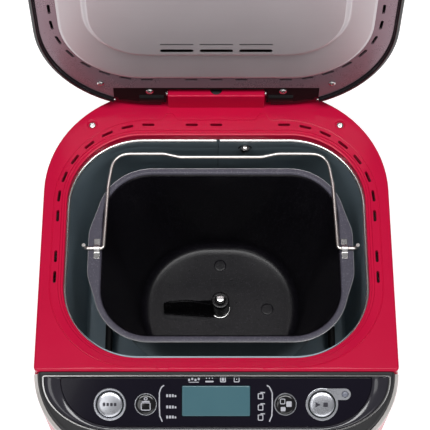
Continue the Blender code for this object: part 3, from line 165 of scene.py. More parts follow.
# %% Wire and Finish
class Wire:
    """One output socket. Arithmetic on it adds Math nodes."""

    def __init__(self, finish, socket):
        self.finish = finish
        self.socket = socket

    def math(self, operation, first, second):
        return self.finish.add("ShaderNodeMath", {"operation": operation}, {0: first, 1: second})

    def __add__(self, other):
        return self.math("ADD", self, other)

    def __radd__(self, other):
        return self.math("ADD", other, self)

    def __sub__(self, other):
        return self.math("SUBTRACT", self, other)

    def __rsub__(self, other):
        return self.math("SUBTRACT", other, self)

    def __mul__(self, other):
        return self.math("MULTIPLY", self, other)

    def __rmul__(self, other):
        return self.math("MULTIPLY", other, self)


class Finish:
    """A material with one Principled shader."""

    def __init__(self, name, **numbers):
        self.material = bpy.data.materials.new(name)
        self.material.use_nodes = True
        self.tree = self.material.node_tree
        self.shader = self.tree.nodes["Principled BSDF"]
        for key, value in numbers.items():
            self.shader.inputs[key.replace("_", " ")].default_value = value

    def add(self, kind, settings=None, values=None, output=0):
        node = self.tree.nodes.new(kind)
        for key, value in (settings or {}).items():
            if key == "stops":
                self.ramp(node.color_ramp, value)
            else:
                setattr(node, key, value)
        for key, value in (values or {}).items():
            if isinstance(value, Wire):
                self.tree.links.new(value.socket, node.inputs[key])
            else:
                node.inputs[key].default_value = value
        return Wire(self, node.outputs[output])

    def ramp(self, ramp, stops):
        while len(ramp.elements) < len(stops):
            ramp.elements.new(0.5)
        for element, (position, grey) in zip(ramp.elements, stops):
            element.position = position
            element.color = (grey, grey, grey, 1.0)

    def set(self, **wires):
        for key, wire in wires.items():
            self.tree.links.new(wire.socket, self.shader.inputs[key.replace("_", " ")])
        return self.material

    def place(self, stretch=(1.0, 1.0, 1.0)):
        """Coordinates fixed to the piece, in metres, stretched along its axes."""
        here = self.add("ShaderNodeTexCoord", output=3)
        return self.add("ShaderNodeMapping", {}, {"Vector": here, "Scale": stretch})

    def noise(self, scale, detail=2.0, stretch=(1.0, 1.0, 1.0), roughness=0.5):
        values = {
            "Vector": self.place(stretch), "Scale": scale, "Detail": detail, "Roughness": roughness
        }
        return self.add("ShaderNodeTexNoise", {}, values)

    def cells(self, scale):
        """Distance from the nearest of many scattered points: small round specks."""
        values = {"Vector": self.place(), "Scale": scale}
        return self.add("ShaderNodeTexVoronoi", {}, values)

    def between(self, low, high, wire):
        """A ramp from 0 below low to 1 above high."""
        stops = [(low, 0.0), (high, 1.0)]
        return self.add("ShaderNodeValToRGB", {"stops": stops}, {"Fac": wire})

    def mix(self, share, first, second):
        """A colour mixed from two."""
        values = {0: share, 6: first, 7: second}
        return self.add("ShaderNodeMix", {"data_type": "RGBA"}, values, output=2)

    def bump(self, height, distance, strength=1.0):
        values = {"Height": height, "Distance": distance, "Strength": strength}
        return self.add("ShaderNodeBump", {}, values)


def shade(red, green, blue):
    return (red, green, blue, 1.0)


print("a colour for a shader:", shade(0.5, 0.0, 0.04))

# %% [markdown]
# ## Plastics
# Moulded plastic is never quite even: the gloss varies over a few centimetres where the mould was
# polished, and a fine grain of a few tenths of a millimetre breaks up its reflections. Both go
# into roughness and bump, and the colour drifts by a few hundredths.

# %% Plastic finishes
def moulded(name, dark, light, gloss, grain, depth, **numbers):
    """Plastic with a drifting colour, drifting gloss and a fine moulded grain."""
    finish = Finish(name, **numbers)
    drift = finish.noise(18.0, 3.0)
    fine = finish.noise(grain, 3.0)
    rough = gloss[0] + (gloss[1] - gloss[0]) * finish.noise(45.0, 4.0)
    return finish.set(
        Base_Color=finish.mix(drift, shade(*dark), shade(*light)),
        Roughness=rough + 0.04 * fine,
        Normal=finish.bump(fine, depth),
    )


red_plastic = moulded(
    "red_gloss_plastic", (0.52, 0.004, 0.04), (0.56, 0.0055, 0.047), (0.17, 0.24), 1400.0, 0.00002,
    Specular_IOR_Level=0.22,
)
black_gloss = moulded(
    "black_gloss_plastic", (0.006, 0.006, 0.007), (0.012, 0.011, 0.013), (0.06, 0.14), 900.0, 0.00001,
    Coat_Weight=0.4,
)
# Near-black with little shine, for the hinge arms and the pocket plate; on the plate's middle strip it is a
# painted shadow of the gap over the hinge block.
hinge_black_and_gap_shade = moulded(
    "hinge_black_and_gap_shade", (0.003, 0.0028, 0.0032), (0.006, 0.0056, 0.0062), (0.36, 0.48), 1200.0, 0.00002,
    Specular_IOR_Level=0.18,
)
black_matt = moulded(
    "black_matt_plastic", (0.01, 0.01, 0.011), (0.02, 0.019, 0.021), (0.42, 0.6), 1800.0, 0.00006
)
frame_plastic = moulded(
    "mauve_grey_plastic", (0.215, 0.142, 0.17), (0.26, 0.175, 0.206), (0.22, 0.3), 1600.0, 0.00003,
    Metallic=0.45,
)
rubber = moulded("black_rubber", (0.01, 0.01, 0.01), (0.022, 0.022, 0.022), (0.7, 0.85), 900.0, 0.0001)
satin_edge = moulded(
    "satin_edge", (0.52, 0.49, 0.47), (0.62, 0.59, 0.57), (0.3, 0.42), 1500.0, 0.00002, Metallic=0.35
)
board_green = moulded("circuit_board", (0.005, 0.06, 0.02), (0.01, 0.11, 0.04), (0.35, 0.5), 800.0, 0.00005)
print("plastics:", red_plastic.name, black_gloss.name, frame_plastic.name)

# %% [markdown]
# ## Metals
# The lid's reflector is rolled sheet: fine lines run one way, stretched a hundred times longer
# than they are wide. The chamber is the same sheet under a blue-grey coating. Wire and screws are
# drawn or turned steel, smoother, with faint smudges in the gloss.

# %% Metal finishes
def rolled(name, dark, light, gloss, stretch, depth, **numbers):
    """Sheet metal with fine lines along one axis and soft smudges."""
    finish = Finish(name, **numbers)
    lines = finish.noise(900.0, 4.0, stretch, 0.7)
    smudge = finish.noise(28.0, 4.0)
    return finish.set(
        Base_Color=finish.mix(0.5 * lines + 0.5 * smudge, shade(*dark), shade(*light)),
        Roughness=gloss[0] + (gloss[1] - gloss[0]) * smudge + 0.05 * lines,
        Normal=finish.bump(lines, depth, 0.6),
    )


ALONG_X = (0.02, 1.0, 1.0)
reflector_steel = rolled(
    "brushed_reflector_steel", (0.5, 0.455, 0.475), (0.58, 0.53, 0.55), (0.34, 0.42), ALONG_X,
    0.000006, Metallic=0.62,
)
chamber_steel = rolled(
    "coated_chamber_steel", (0.27, 0.35, 0.4), (0.33, 0.425, 0.48), (0.26, 0.36), (1.0, 1.0, 0.05),
    0.00001, Metallic=0.35,
)
bright_steel = rolled(
    "bright_steel", (0.58, 0.57, 0.57), (0.8, 0.79, 0.78), (0.16, 0.28), (1.0, 1.0, 0.3), 0.00002,
    Metallic=1.0,
)
wire_steel = rolled(
    "stainless_wire", (0.66, 0.61, 0.57), (0.84, 0.8, 0.76), (0.24, 0.34), (0.3, 0.3, 1.0), 0.00002,
    Metallic=1.0,
)
silver_paint = rolled(
    "silver_paint", (0.56, 0.57, 0.62), (0.74, 0.75, 0.8), (0.2, 0.3), (0.2, 1.0, 1.0), 0.00001,
    Metallic=0.85,
)
cast = rolled(
    "cast_aluminium", (0.3, 0.3, 0.31), (0.48, 0.48, 0.49), (0.38, 0.52), (1.0, 1.0, 1.0), 0.0001,
    Metallic=0.9,
)
print("metals:", reflector_steel.name, chamber_steel.name, wire_steel.name)

# %% [markdown]
# ## Non-stick coating
# It is sprayed in two coats, a dark one and a scatter of paler droplets, so it is charcoal with
# light specks of about half a millimetre and an orange-peel skin. Specks of two sizes, made from
# the distance to scattered points, look less regular than one.

# %% Non-stick finish
def speckled(name, ground, speck, gloss):
    finish = Finish(name, Specular_IOR_Level=0.3)
    small = 1.0 - finish.between(0.1, 0.3, finish.cells(1500.0))
    large = 1.0 - finish.between(0.08, 0.24, finish.cells(700.0))
    patches = finish.between(0.42, 0.62, finish.noise(260.0, 3.0))
    specks = 0.55 * small * patches + 0.8 * large
    peel = finish.noise(700.0, 2.0)
    return finish.set(
        Base_Color=finish.mix(specks, shade(*ground), shade(*speck)),
        Roughness=gloss + 0.12 * peel,
        Normal=finish.bump(peel + 0.5 * specks, 0.00008),
    )


non_stick = speckled("non_stick_coating", (0.0048, 0.0042, 0.0062), (0.05, 0.047, 0.06), 0.24)
rim_coating = speckled("non_stick_rim", (0.07, 0.066, 0.09), (0.3, 0.29, 0.34), 0.3)
paddle_coating = speckled("paddle_coating", (0.0022, 0.002, 0.0026), (0.012, 0.011, 0.014), 0.22)
print("coatings:", non_stick.name, rim_coating.name, paddle_coating.name)

# %% [markdown]
# ## The panel's finishes
# The plate is a navy so dark that it reads as black, under a clear hard coat. The display is a
# flat teal film behind glass. Printed marks are a pale grey ink, slightly raised like screen print.

# %% Panel finishes
navy_plate = moulded(
    "navy_gloss_plate", (0.0065, 0.0055, 0.0105), (0.01, 0.0085, 0.0155), (0.07, 0.12), 600.0, 0.000006,
    Specular_IOR_Level=0.18, Coat_Weight=0.06, Coat_Roughness=0.04,
)
lcd_film = moulded(
    "lcd_teal", (0.05, 0.132, 0.165), (0.072, 0.165, 0.195), (0.12, 0.2), 500.0, 0.000004, Coat_Weight=0.5
)
band_gloss = moulded(
    "band_gloss", (0.022, 0.0205, 0.0275), (0.032, 0.03, 0.039), (0.1, 0.16), 600.0, 0.000006,
    Coat_Weight=0.5,
)
lamp_lens = moulded("lamp_lens", (0.16, 0.17, 0.22), (0.22, 0.23, 0.28), (0.15, 0.22), 700.0, 0.00001)
pale_ink = moulded("pale_ink", (0.42, 0.42, 0.47), (0.5, 0.5, 0.55), (0.4, 0.5), 2000.0, 0.00001)
dark_ink = moulded("dark_ink", (0.02, 0.018, 0.03), (0.03, 0.028, 0.04), (0.4, 0.5), 2000.0, 0.00001)
print("panel:", navy_plate.name, lcd_film.name, lamp_lens.name)

# %% [markdown]
# ## Mesh helpers
# Nearly every piece is a skin over a stack of loops: a moulding is one outline carried inwards and
# downwards through a few levels, a wire is a circle carried along a path. Loops in a stack have
# equally many points, so neighbours join with plain quads. Holes come after that with Booleans,
# and a narrow bevel last of all, because a real edge is never sharp and its highlight shows it.

# %% Loops and skins
STEPS = 20  # points in a rounded corner
SIDES = (("left", -1), ("right", 1))


def outline(half, front, back, front_corner, back_corner, inset=0.0, straight=4):
    """A rounded rectangle, counter-clockwise from the right front corner, as (x, y) points.

    A corner is a radius, or an (x, y) pair for a quarter of an ellipse. straight is the number of
    extra points along each straight side.
    """
    half, front, back = half - inset, front + inset, back - inset
    corners = []
    for corner in (front_corner, back_corner):
        across, along = corner if isinstance(corner, tuple) else (corner, corner)
        corners.append((max(across - inset, 0.0004), max(along - inset, 0.0004)))
    points = []
    for quarter in range(4):
        across, along = corners[0 if quarter in (0, 3) else 1]
        x = (half - across) * (1 if quarter < 2 else -1)
        y = front + along if quarter in (0, 3) else back - along
        for i in range(STEPS + 1):
            angle = (quarter - 1 + i / STEPS) * math.pi / 2
            points.append((x + across * math.cos(angle), y + along * math.sin(angle)))
    spread = []
    for i, point in enumerate(points):
        spread.append(point)
        if i % (STEPS + 1) == STEPS:
            after = points[(i + 1) % len(points)]
            spread += [
                tuple(a + (b - a) * k / (straight + 1) for a, b in zip(point, after))
                for k in range(1, straight + 1)
            ]
    return spread


def level(points, z):
    return [(x, y, z) for x, y in points]


def ledge(*shape):
    """A maker of loops: one rounded outline, at a height and with an inset."""
    return lambda z, inset=0.0: level(outline(*shape, inset), z)


def add_skin(bm, loops, ring=False):
    rows = [[bm.verts.new(point) for point in loop] for loop in loops]
    pairs = list(zip(rows, rows[1:]))
    if ring:
        pairs.append((rows[-1], rows[0]))
    else:
        bm.faces.new(rows[0])
        bm.faces.new(rows[-1])
    for low, high in pairs:
        for i in range(len(low)):
            j = (i + 1) % len(low)
            bm.faces.new((low[i], low[j], high[j], high[i]))


def circle(radius, z, sides=48):
    return [
        (radius * math.cos(math.tau * i / sides), radius * math.sin(math.tau * i / sides), z)
        for i in range(sides)
    ]


def turned(profile, sides=48, at=(0.0, 0.0)):
    """Loops of a piece turned about an upright axis, from (radius, height) points."""
    return [[(x + at[0], y + at[1], z) for x, y, z in circle(r, z, sides)] for r, z in profile]


def box(low, high):
    corners = ((low[0], low[1]), (high[0], low[1]), (high[0], high[1]), (low[0], high[1]))
    return [[(x, y, z) for x, y in corners] for z in (low[2], high[2])]


def drill(radius, low, high, sides=32, at=(0.0, 0.0)):
    """A round cutter on an upright axis."""
    return turned([(radius, low), (radius, high)], sides, at)


def stack(make, *rows):
    """One loop for each row of arguments."""
    return [make(*row) for row in rows]


def moved(loops, matrix):
    return [[tuple(matrix @ Vector(point)) for point in loop] for loop in loops]


def tube(path, radius, sides=12, closed=False):
    """Round sections along a path, kept from twisting."""
    points = [Vector(p) for p in path]
    count = len(points)
    loops, up = [], None
    for i, point in enumerate(points):
        if closed:
            ahead = points[(i + 1) % count] - points[i - 1]
        else:
            ahead = points[min(i + 1, count - 1)] - points[max(i - 1, 0)]
        ahead.normalize()
        up = ahead.orthogonal() if up is None else up - ahead * up.dot(ahead)
        up.normalize()
        side = ahead.cross(up)
        turns = [math.tau * k / sides for k in range(sides)]
        loops.append([tuple(point + radius * (math.cos(a) * up + math.sin(a) * side)) for a in turns])
    return loops


print("points in a rounded outline:", len(outline(0.1, 0.0, 0.1, 0.01, 0.01)))

# %% [markdown]
# ## Pieces
# One function turns skins into a named object: it closes the mesh, places it with its plane's
# matrix, cuts holes, gives it its material, softens edges and finally hangs it on the body it
# rides on and hides the CAD nodes it stands for.

# %% Make a piece
def build_mesh(name, skins, matrix):
    bm = bmesh.new()
    for loops, ring in skins:
        add_skin(bm, loops, ring)
    bmesh.ops.recalc_face_normals(bm, faces=bm.faces)
    mesh = bpy.data.meshes.new(name)
    bm.to_mesh(mesh)
    bm.free()
    thing = bpy.data.objects.new(name, mesh)
    scene.collection.objects.link(thing)
    thing.matrix_world = matrix
    return thing


def carve(thing, shapes, matrix, operation="DIFFERENCE"):
    """Cuts closed skins out of a piece, or joins them to it. A (loops, True) pair is a ring."""
    skins = [shape if isinstance(shape, tuple) else (shape, False) for shape in shapes]
    tool = build_mesh("tool", skins, matrix)
    modifier = thing.modifiers.new("cut", "BOOLEAN")
    modifier.operation = operation
    modifier.object = tool
    modifier.solver = "EXACT"
    bpy.context.view_layer.update()
    result = bpy.data.meshes.new_from_object(
        thing.evaluated_get(bpy.context.evaluated_depsgraph_get())
    )
    thing.modifiers.clear()
    thing.data = result
    bpy.data.objects.remove(tool)


def soften(thing, width, sharp):
    """A narrow bevel on the sharp edges, then normals that follow the larger faces."""
    if width:
        bevel = thing.modifiers.new("soft_edges", "BEVEL")
        bevel.width = width
        bevel.segments = 2
        bevel.limit_method = "ANGLE"
        bevel.angle_limit = math.radians(sharp)
    thing.modifiers.new("even_shading", "WEIGHTED_NORMAL").keep_sharp = True


def piece(name, loops, material, body, nodes=(), plane=DECK, ring=False, holes=(), joins=(),
          bevel=0.0, sharp=35.0):
    """One finished piece. bevel is the width of its softened edges in metres."""
    skins = loops if isinstance(loops[0], tuple) else [(loops, ring)]
    thing = build_mesh(name, skins, plane)
    for shapes in joins:
        carve(thing, shapes, plane, "UNION")
    for shapes in holes:
        carve(thing, shapes, plane)
    thing.data.materials.clear()
    thing.data.materials.append(material)
    thing.data.shade_smooth()
    thing.data.set_sharp_from_angle(angle=math.radians(sharp))
    soften(thing, bevel, sharp)
    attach(thing, body)
    if nodes:
        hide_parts(*([nodes] if isinstance(nodes, str) else nodes))
    return thing


def stadium(length, width, low, high, ends=6):
    """A slot with round ends, lying along x."""
    radius = width / 2
    points = []
    for sign in (1, -1):
        for i in range(ends + 1):
            angle = math.pi * (i / ends - 0.5)
            reach = length / 2 - radius + radius * math.cos(angle)
            points.append((sign * reach, sign * radius * math.sin(angle)))
    return [level(points, low), level(points, high)]


def place(x=0.0, y=0.0, z=0.0, turn=0.0, axis="Z"):
    return Matrix.Translation((x, y, z)) @ Matrix.Rotation(turn, 4, axis)


print("helpers ready")

# %% [markdown]
# ## Deck
# The deck is a moulding of about 3 mm with rounded outer edges and a mouth for the oven. It is
# made as a ring of loops that go from the outer foot over the top and down into the mouth. A
# shallow dish falls towards the mouth at the front only, so each mouth loop sinks by an amount
# that fades with depth. Two fine steps run round the mouth, and a thin seam with small tabs
# divides the dished part from the flat.

# %% Deck
MOUTH = (HALF - 0.0192, 0.012, DEPTH - 0.0407, 0.059, 0.059)  # half width, front, back, two radii
SKIN = 0.0022  # the mouldings' wall
deck_edge = ledge(HALF, 0.0, DEPTH, 0.004, 0.09)


def sag(y, out):
    """Depth of the dish at a point this far outside the mouth."""
    return 0.0026 * min(max((0.075 - y) / 0.063, 0.0), 1.0) * min(max((0.009 - out) / 0.0075, 0.0), 1.0)


def mouth(drop, out=0.0):
    return [(x, y, -drop - sag(y, out)) for x, y in outline(*MOUTH, -out)]


def slot_places():
    """(x, y, angle) of the air slots round the deck and the lid's frame, as in the CAD."""
    half, back, radius, pitch = HALF - 0.0124, DEPTH - 0.0317, 0.07, 0.0173
    straight, arc = half - radius, radius * math.pi / 2
    places = [(0.0, back, 0.0)]
    places += [(sign * x, back, 0.0) for x in (0.02, straight) for sign in (-1, 1)]
    steps = int(arc / pitch)
    for i in range(1, steps + 1):
        angle = i * pitch / radius
        x, y = straight + radius * math.sin(angle), back - radius + radius * math.cos(angle)
        places += [(sign * x, y, -sign * angle) for sign in (-1, 1)]
    y = back - radius + arc - (steps + 1) * pitch
    while y > 0.076 - pitch / 2:
        if abs(y - 0.109) > pitch / 2:
            places += [(sign * half, y, math.pi / 2) for sign in (-1, 1)]
        y -= pitch
    return places


def slot_tools(low, high, skip=()):
    return [
        moved(stadium(0.01, 0.0023, low, high), place(x, y, 0.0, turn))
        for i, (x, y, turn) in enumerate(slot_places()) if i not in skip
    ]


def seam_path():
    """The seam's line, with tabs that point back beside the hinge and forward at the front."""
    points = outline(0.129, 0.003, 0.2133, 0.067, 0.0745, straight=0)
    quarter = STEPS + 1
    tab = [(0.0439, 0.2133), (0.0403, 0.2189), (0.0358, 0.2189), (0.0314, 0.2133)]
    back = tab + [(-x, y) for x, y in reversed(tab)]
    front = [(-0.0456, 0.003), (-0.0438, 0.0009), (-0.0366, 0.0009), (-0.0348, 0.003)]
    front += [(-x, y) for x, y in reversed(front)]
    return points[:2 * quarter] + back + points[2 * quarter:] + front


deck_rows = stack(deck_edge, (-0.01,), (-0.0022,), (-0.0011, 0.0002), (-0.0004, 0.0008), (0.0, 0.002))
deck_rows += stack(mouth, (0.0, 0.009), (0.0, 0.006), (0.0, 0.0042), (0.0007, 0.0038), (0.0007, 0.0022),
                   (0.0013, 0.0018), (0.0014, 0.0008), (0.0018, 0.0002), (0.0025, 0.0))
deck_rows += [level(outline(*MOUTH), -0.0085), level(outline(*MOUTH, -SKIN), -0.0085),
              mouth(0.0045, SKIN), deck_edge(-0.003, SKIN), deck_edge(-0.01, SKIN)]
seam = (tube(level(seam_path(), 0.0001), 0.0006, 8, closed=True), True)
SCREW_X, SCREW_Y = HALF - 0.0367, DEPTH - 0.0317
screw_spots = [(s * SCREW_X, SCREW_Y) for s in (-1, 1)]
SINK = [(0.0036, -0.0014), (0.004, -0.0004), (0.0046, 0.0), (0.0046, 0.004)]
sinks = [turned(SINK, 32, spot) for spot in screw_spots]
screw_holes = [drill(0.0019, -0.02, 0.004, 16, spot) for spot in screw_spots]
deck = piece(
    "deck_moulding", deck_rows, red_plastic, "machine", "top_deck", ring=True,
    holes=[[seam], slot_tools(-0.012, 0.004, skip=(2,)), sinks, screw_holes],
)
print("deck:", len(deck.data.polygons), "faces,", len(slot_places()) - 1, "slots")

# %% [markdown]
# ## Shell
# The shell stands under the deck and the nose. Its upper rim is level at the back and follows the
# panel's slope in front. The foot is drawn in by 6 mm over a soft curve, as a mould needs. The
# slots at the back and the sides let warm air in and out.

# %% Shell
NOSE = (0.062, 0.056)
TAN = math.tan(SLOPE)
SHELL_LOW = box_in(DECK, "body_shell")[0]


def slope_at(y):
    return -0.001 + TAN * min(y + 0.0005, 0.0)


def body_edge(inset=0.0):
    return outline(HALF, SHELL_LOW.y, DEPTH, NOSE, 0.09, inset, straight=8)


def shell_top(inset):
    return [(x, y, slope_at(y) - 0.0093) for x, y in body_edge(inset)]


foot = [(0.0, 0.006), (0.0015, 0.0046), (0.004, 0.0032), (0.009, 0.0017), (0.015, 0.0006), (0.022, 0.0)]
foot_z = SHELL_LOW.z
shell_rows = [level(body_edge(inset), foot_z + rise) for rise, inset in foot]
shell_rows += [shell_top(0.0), shell_top(SKIN)]
shell_rows += [level(body_edge(inset + SKIN), foot_z + rise) for rise, inset in reversed(foot)]
shell_vents = []
for i in range(9):
    slot = moved(stadium(0.0302, 0.003, -0.02, 0.02), place(turn=math.pi / 2))
    stand = place((i - 4) * 0.008, DEPTH, -0.0777, math.pi / 2, "X")
    shell_vents.append(moved(slot, stand))
for i in range(8):
    for sign in (-1, 1):
        slot = stadium(0.025, 0.003, -0.012, 0.012)
        stand = place(sign * HALF, DEPTH / 2 - 0.05 + i * 0.008, -0.1695, math.pi / 2, "Y")
        shell_vents.append(moved(slot, stand))
inlet = moved(drill(0.0065, -0.02, 0.02), place(-0.045, DEPTH, -0.197, math.pi / 2, "X"))
shell = piece(
    "body_moulding", shell_rows, red_plastic, "machine", "body_shell", ring=True,
    holes=[shell_vents, [inlet]],
)
print("shell:", len(shell.data.polygons), "faces")

# %% [markdown]
# ## Hinge block
# A solid red block at the back of the deck carries the lid's two pins. Its top edges are rounded
# by about a millimetre, and a round black plug is let into the middle of its top.

# %% Hinge block
BLOCK_LOW, BLOCK_HIGH = box_in(DECK, "hinge_block")
block_level = ledge(BLOCK_HIGH.x, BLOCK_LOW.y, BLOCK_HIGH.y, 0.0012, 0.0012)
PIN_Y, PIN_Z = 0.2331, 0.0106  # the hinge's axis over the deck
PLUG_AT = (0.0, 0.2316)
pin_bores = [
    moved(drill(0.0028, -0.012, 0.012, 24), place(s * BLOCK_HIGH.x, PIN_Y, PIN_Z, math.pi / 2, "Y"))
    for s in (-1, 1)
]
top = BLOCK_HIGH.z
block_rows = stack(block_level, (BLOCK_LOW.z, 0.0), (top - 0.0014, 0.0), (top - 0.0006, 0.0002),
                   (top - 0.0001, 0.0008), (top, 0.0014))
piece("hinge_block_moulding", block_rows, red_plastic, "machine", "hinge_block",
      holes=[pin_bores, [drill(0.0049, top - 0.003, top + 0.01, 40, PLUG_AT)]])
plug = [(0.0047, top - 0.0032), (0.0047, top - 0.0016), (0.0042, top - 0.0011), (0.0015, top - 0.001)]
piece("hinge_block_plug", turned(plug, 40, PLUG_AT), black_matt, "machine")
print("hinge block:", round(2 * BLOCK_HIGH.x, 4), "wide")

# %% [markdown]
# ## Fascia
# The nose carries a matt black frame, with a recess for the panel, and a satin strip outside it
# that runs from side to side. Both follow the same outline as the shell under them, lifted onto
# the slope, so the three stay parallel all the way round.

# %% Fascia frame and edge strip
PANEL_IN_DECK = DECK.inverted() @ PANEL


def nose(inset, drop, straight=4):
    points = outline(HALF, SHELL_LOW.y, -0.0005 + inset, NOSE, 0.0004, inset, straight)
    return [(x, y, slope_at(y) - drop) for x, y in points]


trim = ledge(0.131, -0.046, -0.0022, (0.055, 0.0395), 0.0015)
plate = ledge(0.1172, -0.041, -0.0045, (0.04, 0.0345), 0.0015)
EDGE = 0.0033
LIP = EDGE + SKIN
frame_rows = stack(nose, (EDGE, 0.009), (EDGE, 0.003), (EDGE + 0.0003, 0.0016), (EDGE + 0.001, 0.0006),
                   (LIP, 0.0))
recess = stack(trim, (0.0, -0.0003), (-0.0043, -0.0003), (-0.0043, 0.0035), (-0.0058, 0.0035))
frame_rows += moved(recess, PANEL_IN_DECK) + stack(nose, (LIP, 0.0078), (LIP, 0.009))
piece("fascia_frame_moulding", frame_rows, black_matt, "machine", "fascia_frame", ring=True)
count = STEPS + 1
EDGE_STEPS = ((0.0, 0.009), (0.0, 0.0054), (0.0003, 0.0044), (0.0009, 0.0037), (0.0028, 0.0034),
              (0.003, 0.004), (0.003, 0.009))
rails = [nose(inset, drop, straight=0) for inset, drop in EDGE_STEPS]
rails = [rail[3 * count:] + rail[:count] for rail in rails]
edge_sections = [[rail[i] for rail in rails] for i in range(len(rails[0]))]
piece("fascia_edge_strip", edge_sections, satin_edge, "machine", "fascia_edge")
print("fascia:", len(frame_rows), "loops; edge strip:", len(edge_sections), "sections")

# %% [markdown]
# ## Panel
# From the outside in: a bright trim line, a bulged glossy band and a flat plate with holes for the
# buttons and the display. The band bulges by a millimetre, so that its reflection runs from light
# to dark across its width.

# %% Trim, band and plate
LARGE, RING, SMALL = 0.0101, 0.0122, 0.0084
ROW = -0.02435
MENU, LOAF, CRUST, START = (-0.0802, ROW), (-0.0531, ROW), (0.052, ROW), (0.0795, ROW)
PILL_END, PILL_R = (0.0968, -0.0167), 0.0043
LCD = (-0.0258, 0.0254, -0.0335, -0.0105)
trim_rows = stack(trim, (-0.004,), (0.0003,), (0.0006, 0.0003), (0.0006, 0.001), (0.0003, 0.0013),
                  (-0.004, 0.0013))
piece("panel_trim_line", trim_rows, bright_steel, "machine", "panel_trim", plane=PANEL, ring=True)


def band(share, w):
    """A loop part of the way from the trim to the plate."""
    outer, inner = trim(w, 0.0016), plate(w, -0.0003)
    return [tuple(a + (b - a) * share for a, b in zip(p, q)) for p, q in zip(outer, inner)]


band_rows = stack(band, (0.0, -0.004), (0.0, -0.0002), (0.08, 0.0004), (0.3, 0.0008), (0.55, 0.0007),
                  (0.8, 0.0001), (0.97, -0.0006), (1.0, -0.001), (1.0, -0.004))
piece("panel_band", band_rows, band_gloss, "machine", "panel_bezel", plane=PANEL, ring=True)


def pill(offset, low, high):
    """The start bezel's arm, which reaches out to a small lamp."""
    radius, (u, v) = PILL_R + offset, PILL_END
    angles = [math.pi * (k / 16 - 0.5) for k in range(17)]
    points = [(u + radius * math.cos(a), v + radius * math.sin(a)) for a in angles]
    points += [(START[0] + 0.004, v + radius), (START[0] + 0.004, v - radius)]
    return [level(points, low), level(points, high)]


def well(at, radius):
    return drill(radius, -0.02, 0.02, 64, at)


left, right, bottom, upper = LCD
window = outline((right - left) / 2 + 0.0003, bottom - 0.0003, upper + 0.0003, 0.001, 0.001)
window = [(x + (left + right) / 2, y) for x, y in window]
plate_rows = stack(plate, (-0.004,), (-0.001,), (-0.0007, 0.0002), (-0.0006, 0.0006))
plate_piece = piece(
    "panel_plate", plate_rows, navy_plate, "machine", "control_panel", plane=PANEL,
    holes=[[well(MENU, RING + 0.0002), well(START, RING + 0.0002)],
           [well(LOAF, SMALL + 0.0002), well(CRUST, SMALL + 0.0002)],
           [[level(window, -0.01), level(window, 0.01)]], [pill(0.0002, -0.01, 0.01)]],
)
print("panel plate:", len(plate_piece.data.polygons), "faces")

# %% [markdown]
# ## Display and buttons
# The display is a slab with a rounded face under the plate's level. The two large buttons are
# domed silver caps with a dark gap and a bright bezel; the start bezel has an arm with a small
# lamp. The two small ones are black caps with a silver rim. Each cap is turned on a lathe profile.

# %% Display, bezels, caps and lamp
def lcd_loop(w, inset):
    points = outline((right - left) / 2, bottom, upper, 0.0008, 0.0008, inset)
    return [(x + (left + right) / 2, y, w) for x, y in points]


lcd_rows = stack(lcd_loop, (-0.004, 0.0), (-0.0012, 0.0), (-0.0009, 0.0003), (-0.0008, 0.0008))
piece("display", lcd_rows, lcd_film, "machine", "lcd_window", plane=PANEL)
BEZEL_INNER = LARGE + 0.0004
piece(
    "menu_bezel_ring",
    turned([(RING, -0.004), (RING, 0.0002), (RING - 0.0004, 0.0005), (RING - 0.0011, 0.0005),
            (BEZEL_INNER, -0.0001), (BEZEL_INNER, -0.004)], 64, MENU),
    silver_paint, "machine", "menu_bezel", plane=PANEL, ring=True,
)
piece(
    "start_bezel_ring",
    turned([(RING, -0.004), (RING, 0.0002), (RING - 0.0003, 0.0004)], 64, START),
    silver_paint, "machine", "start_bezel", plane=PANEL,
    joins=[[pill(0.0, -0.004, 0.0004)]],
    holes=[[well(START, BEZEL_INNER), well(PILL_END, 0.0026)]], bevel=0.0003,
)
piece(
    "start_lamp_lens",
    turned([(0.0023, -0.005), (0.0023, 0.0002), (0.0019, 0.0006), (0.0011, 0.0009), (0.0003, 0.001)], 32,
           PILL_END),
    lamp_lens, "machine", "start_lamp", plane=PANEL,
)


def large_cap(name, at, body, node):
    face = [(0.0022, -0.0097), (0.0022, -0.0036), (LARGE - 0.0006, -0.0036), (LARGE - 0.0006, 0.0002),
            (LARGE - 0.0008, 0.0008), (LARGE - 0.0014, 0.0012), (0.007, 0.0015), (0.004, 0.0017),
            (0.0015, 0.0018), (0.0002, 0.0018)]
    return piece(name, turned(face, 64, at), silver_paint, body, node, plane=PANEL, sharp=50.0)


def small_cap(name, at, body, node):
    face = [(0.0022, -0.0097), (0.0022, -0.0036), (SMALL - 0.0008, -0.0036), (SMALL - 0.0008, 0.0),
            (SMALL - 0.0012, 0.0006), (0.006, 0.0009), (0.0035, 0.0011), (0.0002, 0.0012)]
    rim = [(SMALL, -0.0036), (SMALL, 0.0002), (SMALL - 0.0002, 0.0004), (SMALL - 0.0006, 0.0004),
           (SMALL - 0.0007, 0.0), (SMALL - 0.0007, -0.0036)]
    piece(name, turned(face, 64, at), black_gloss, body, node, plane=PANEL, sharp=50.0)
    return piece(name + "_rim", turned(rim, 64, at), silver_paint, body, plane=PANEL, ring=True)


large_cap("menu_cap", MENU, "menu_button_body", "menu_button")
large_cap("start_cap", START, "start_button_body", "start_button")
small_cap("loaf_cap", LOAF, "loaf_button_body", "loaf_button")
small_cap("crust_cap", CRUST, "crust_button_body", "crust_button")
print("buttons at u", MENU[0], LOAF[0], CRUST[0], START[0])

# %% [markdown]
# ## Printed marks
# The printing is generic: bars and simple signs in place of words, and dashes in place of labels.
# Each group is one thin raised mesh, like screen print. A sign is a stack of rounded tiles,
# outlines or bars, placed by a small helper that knows where the group's middle is.

# %% Marks
INK = 0.0001


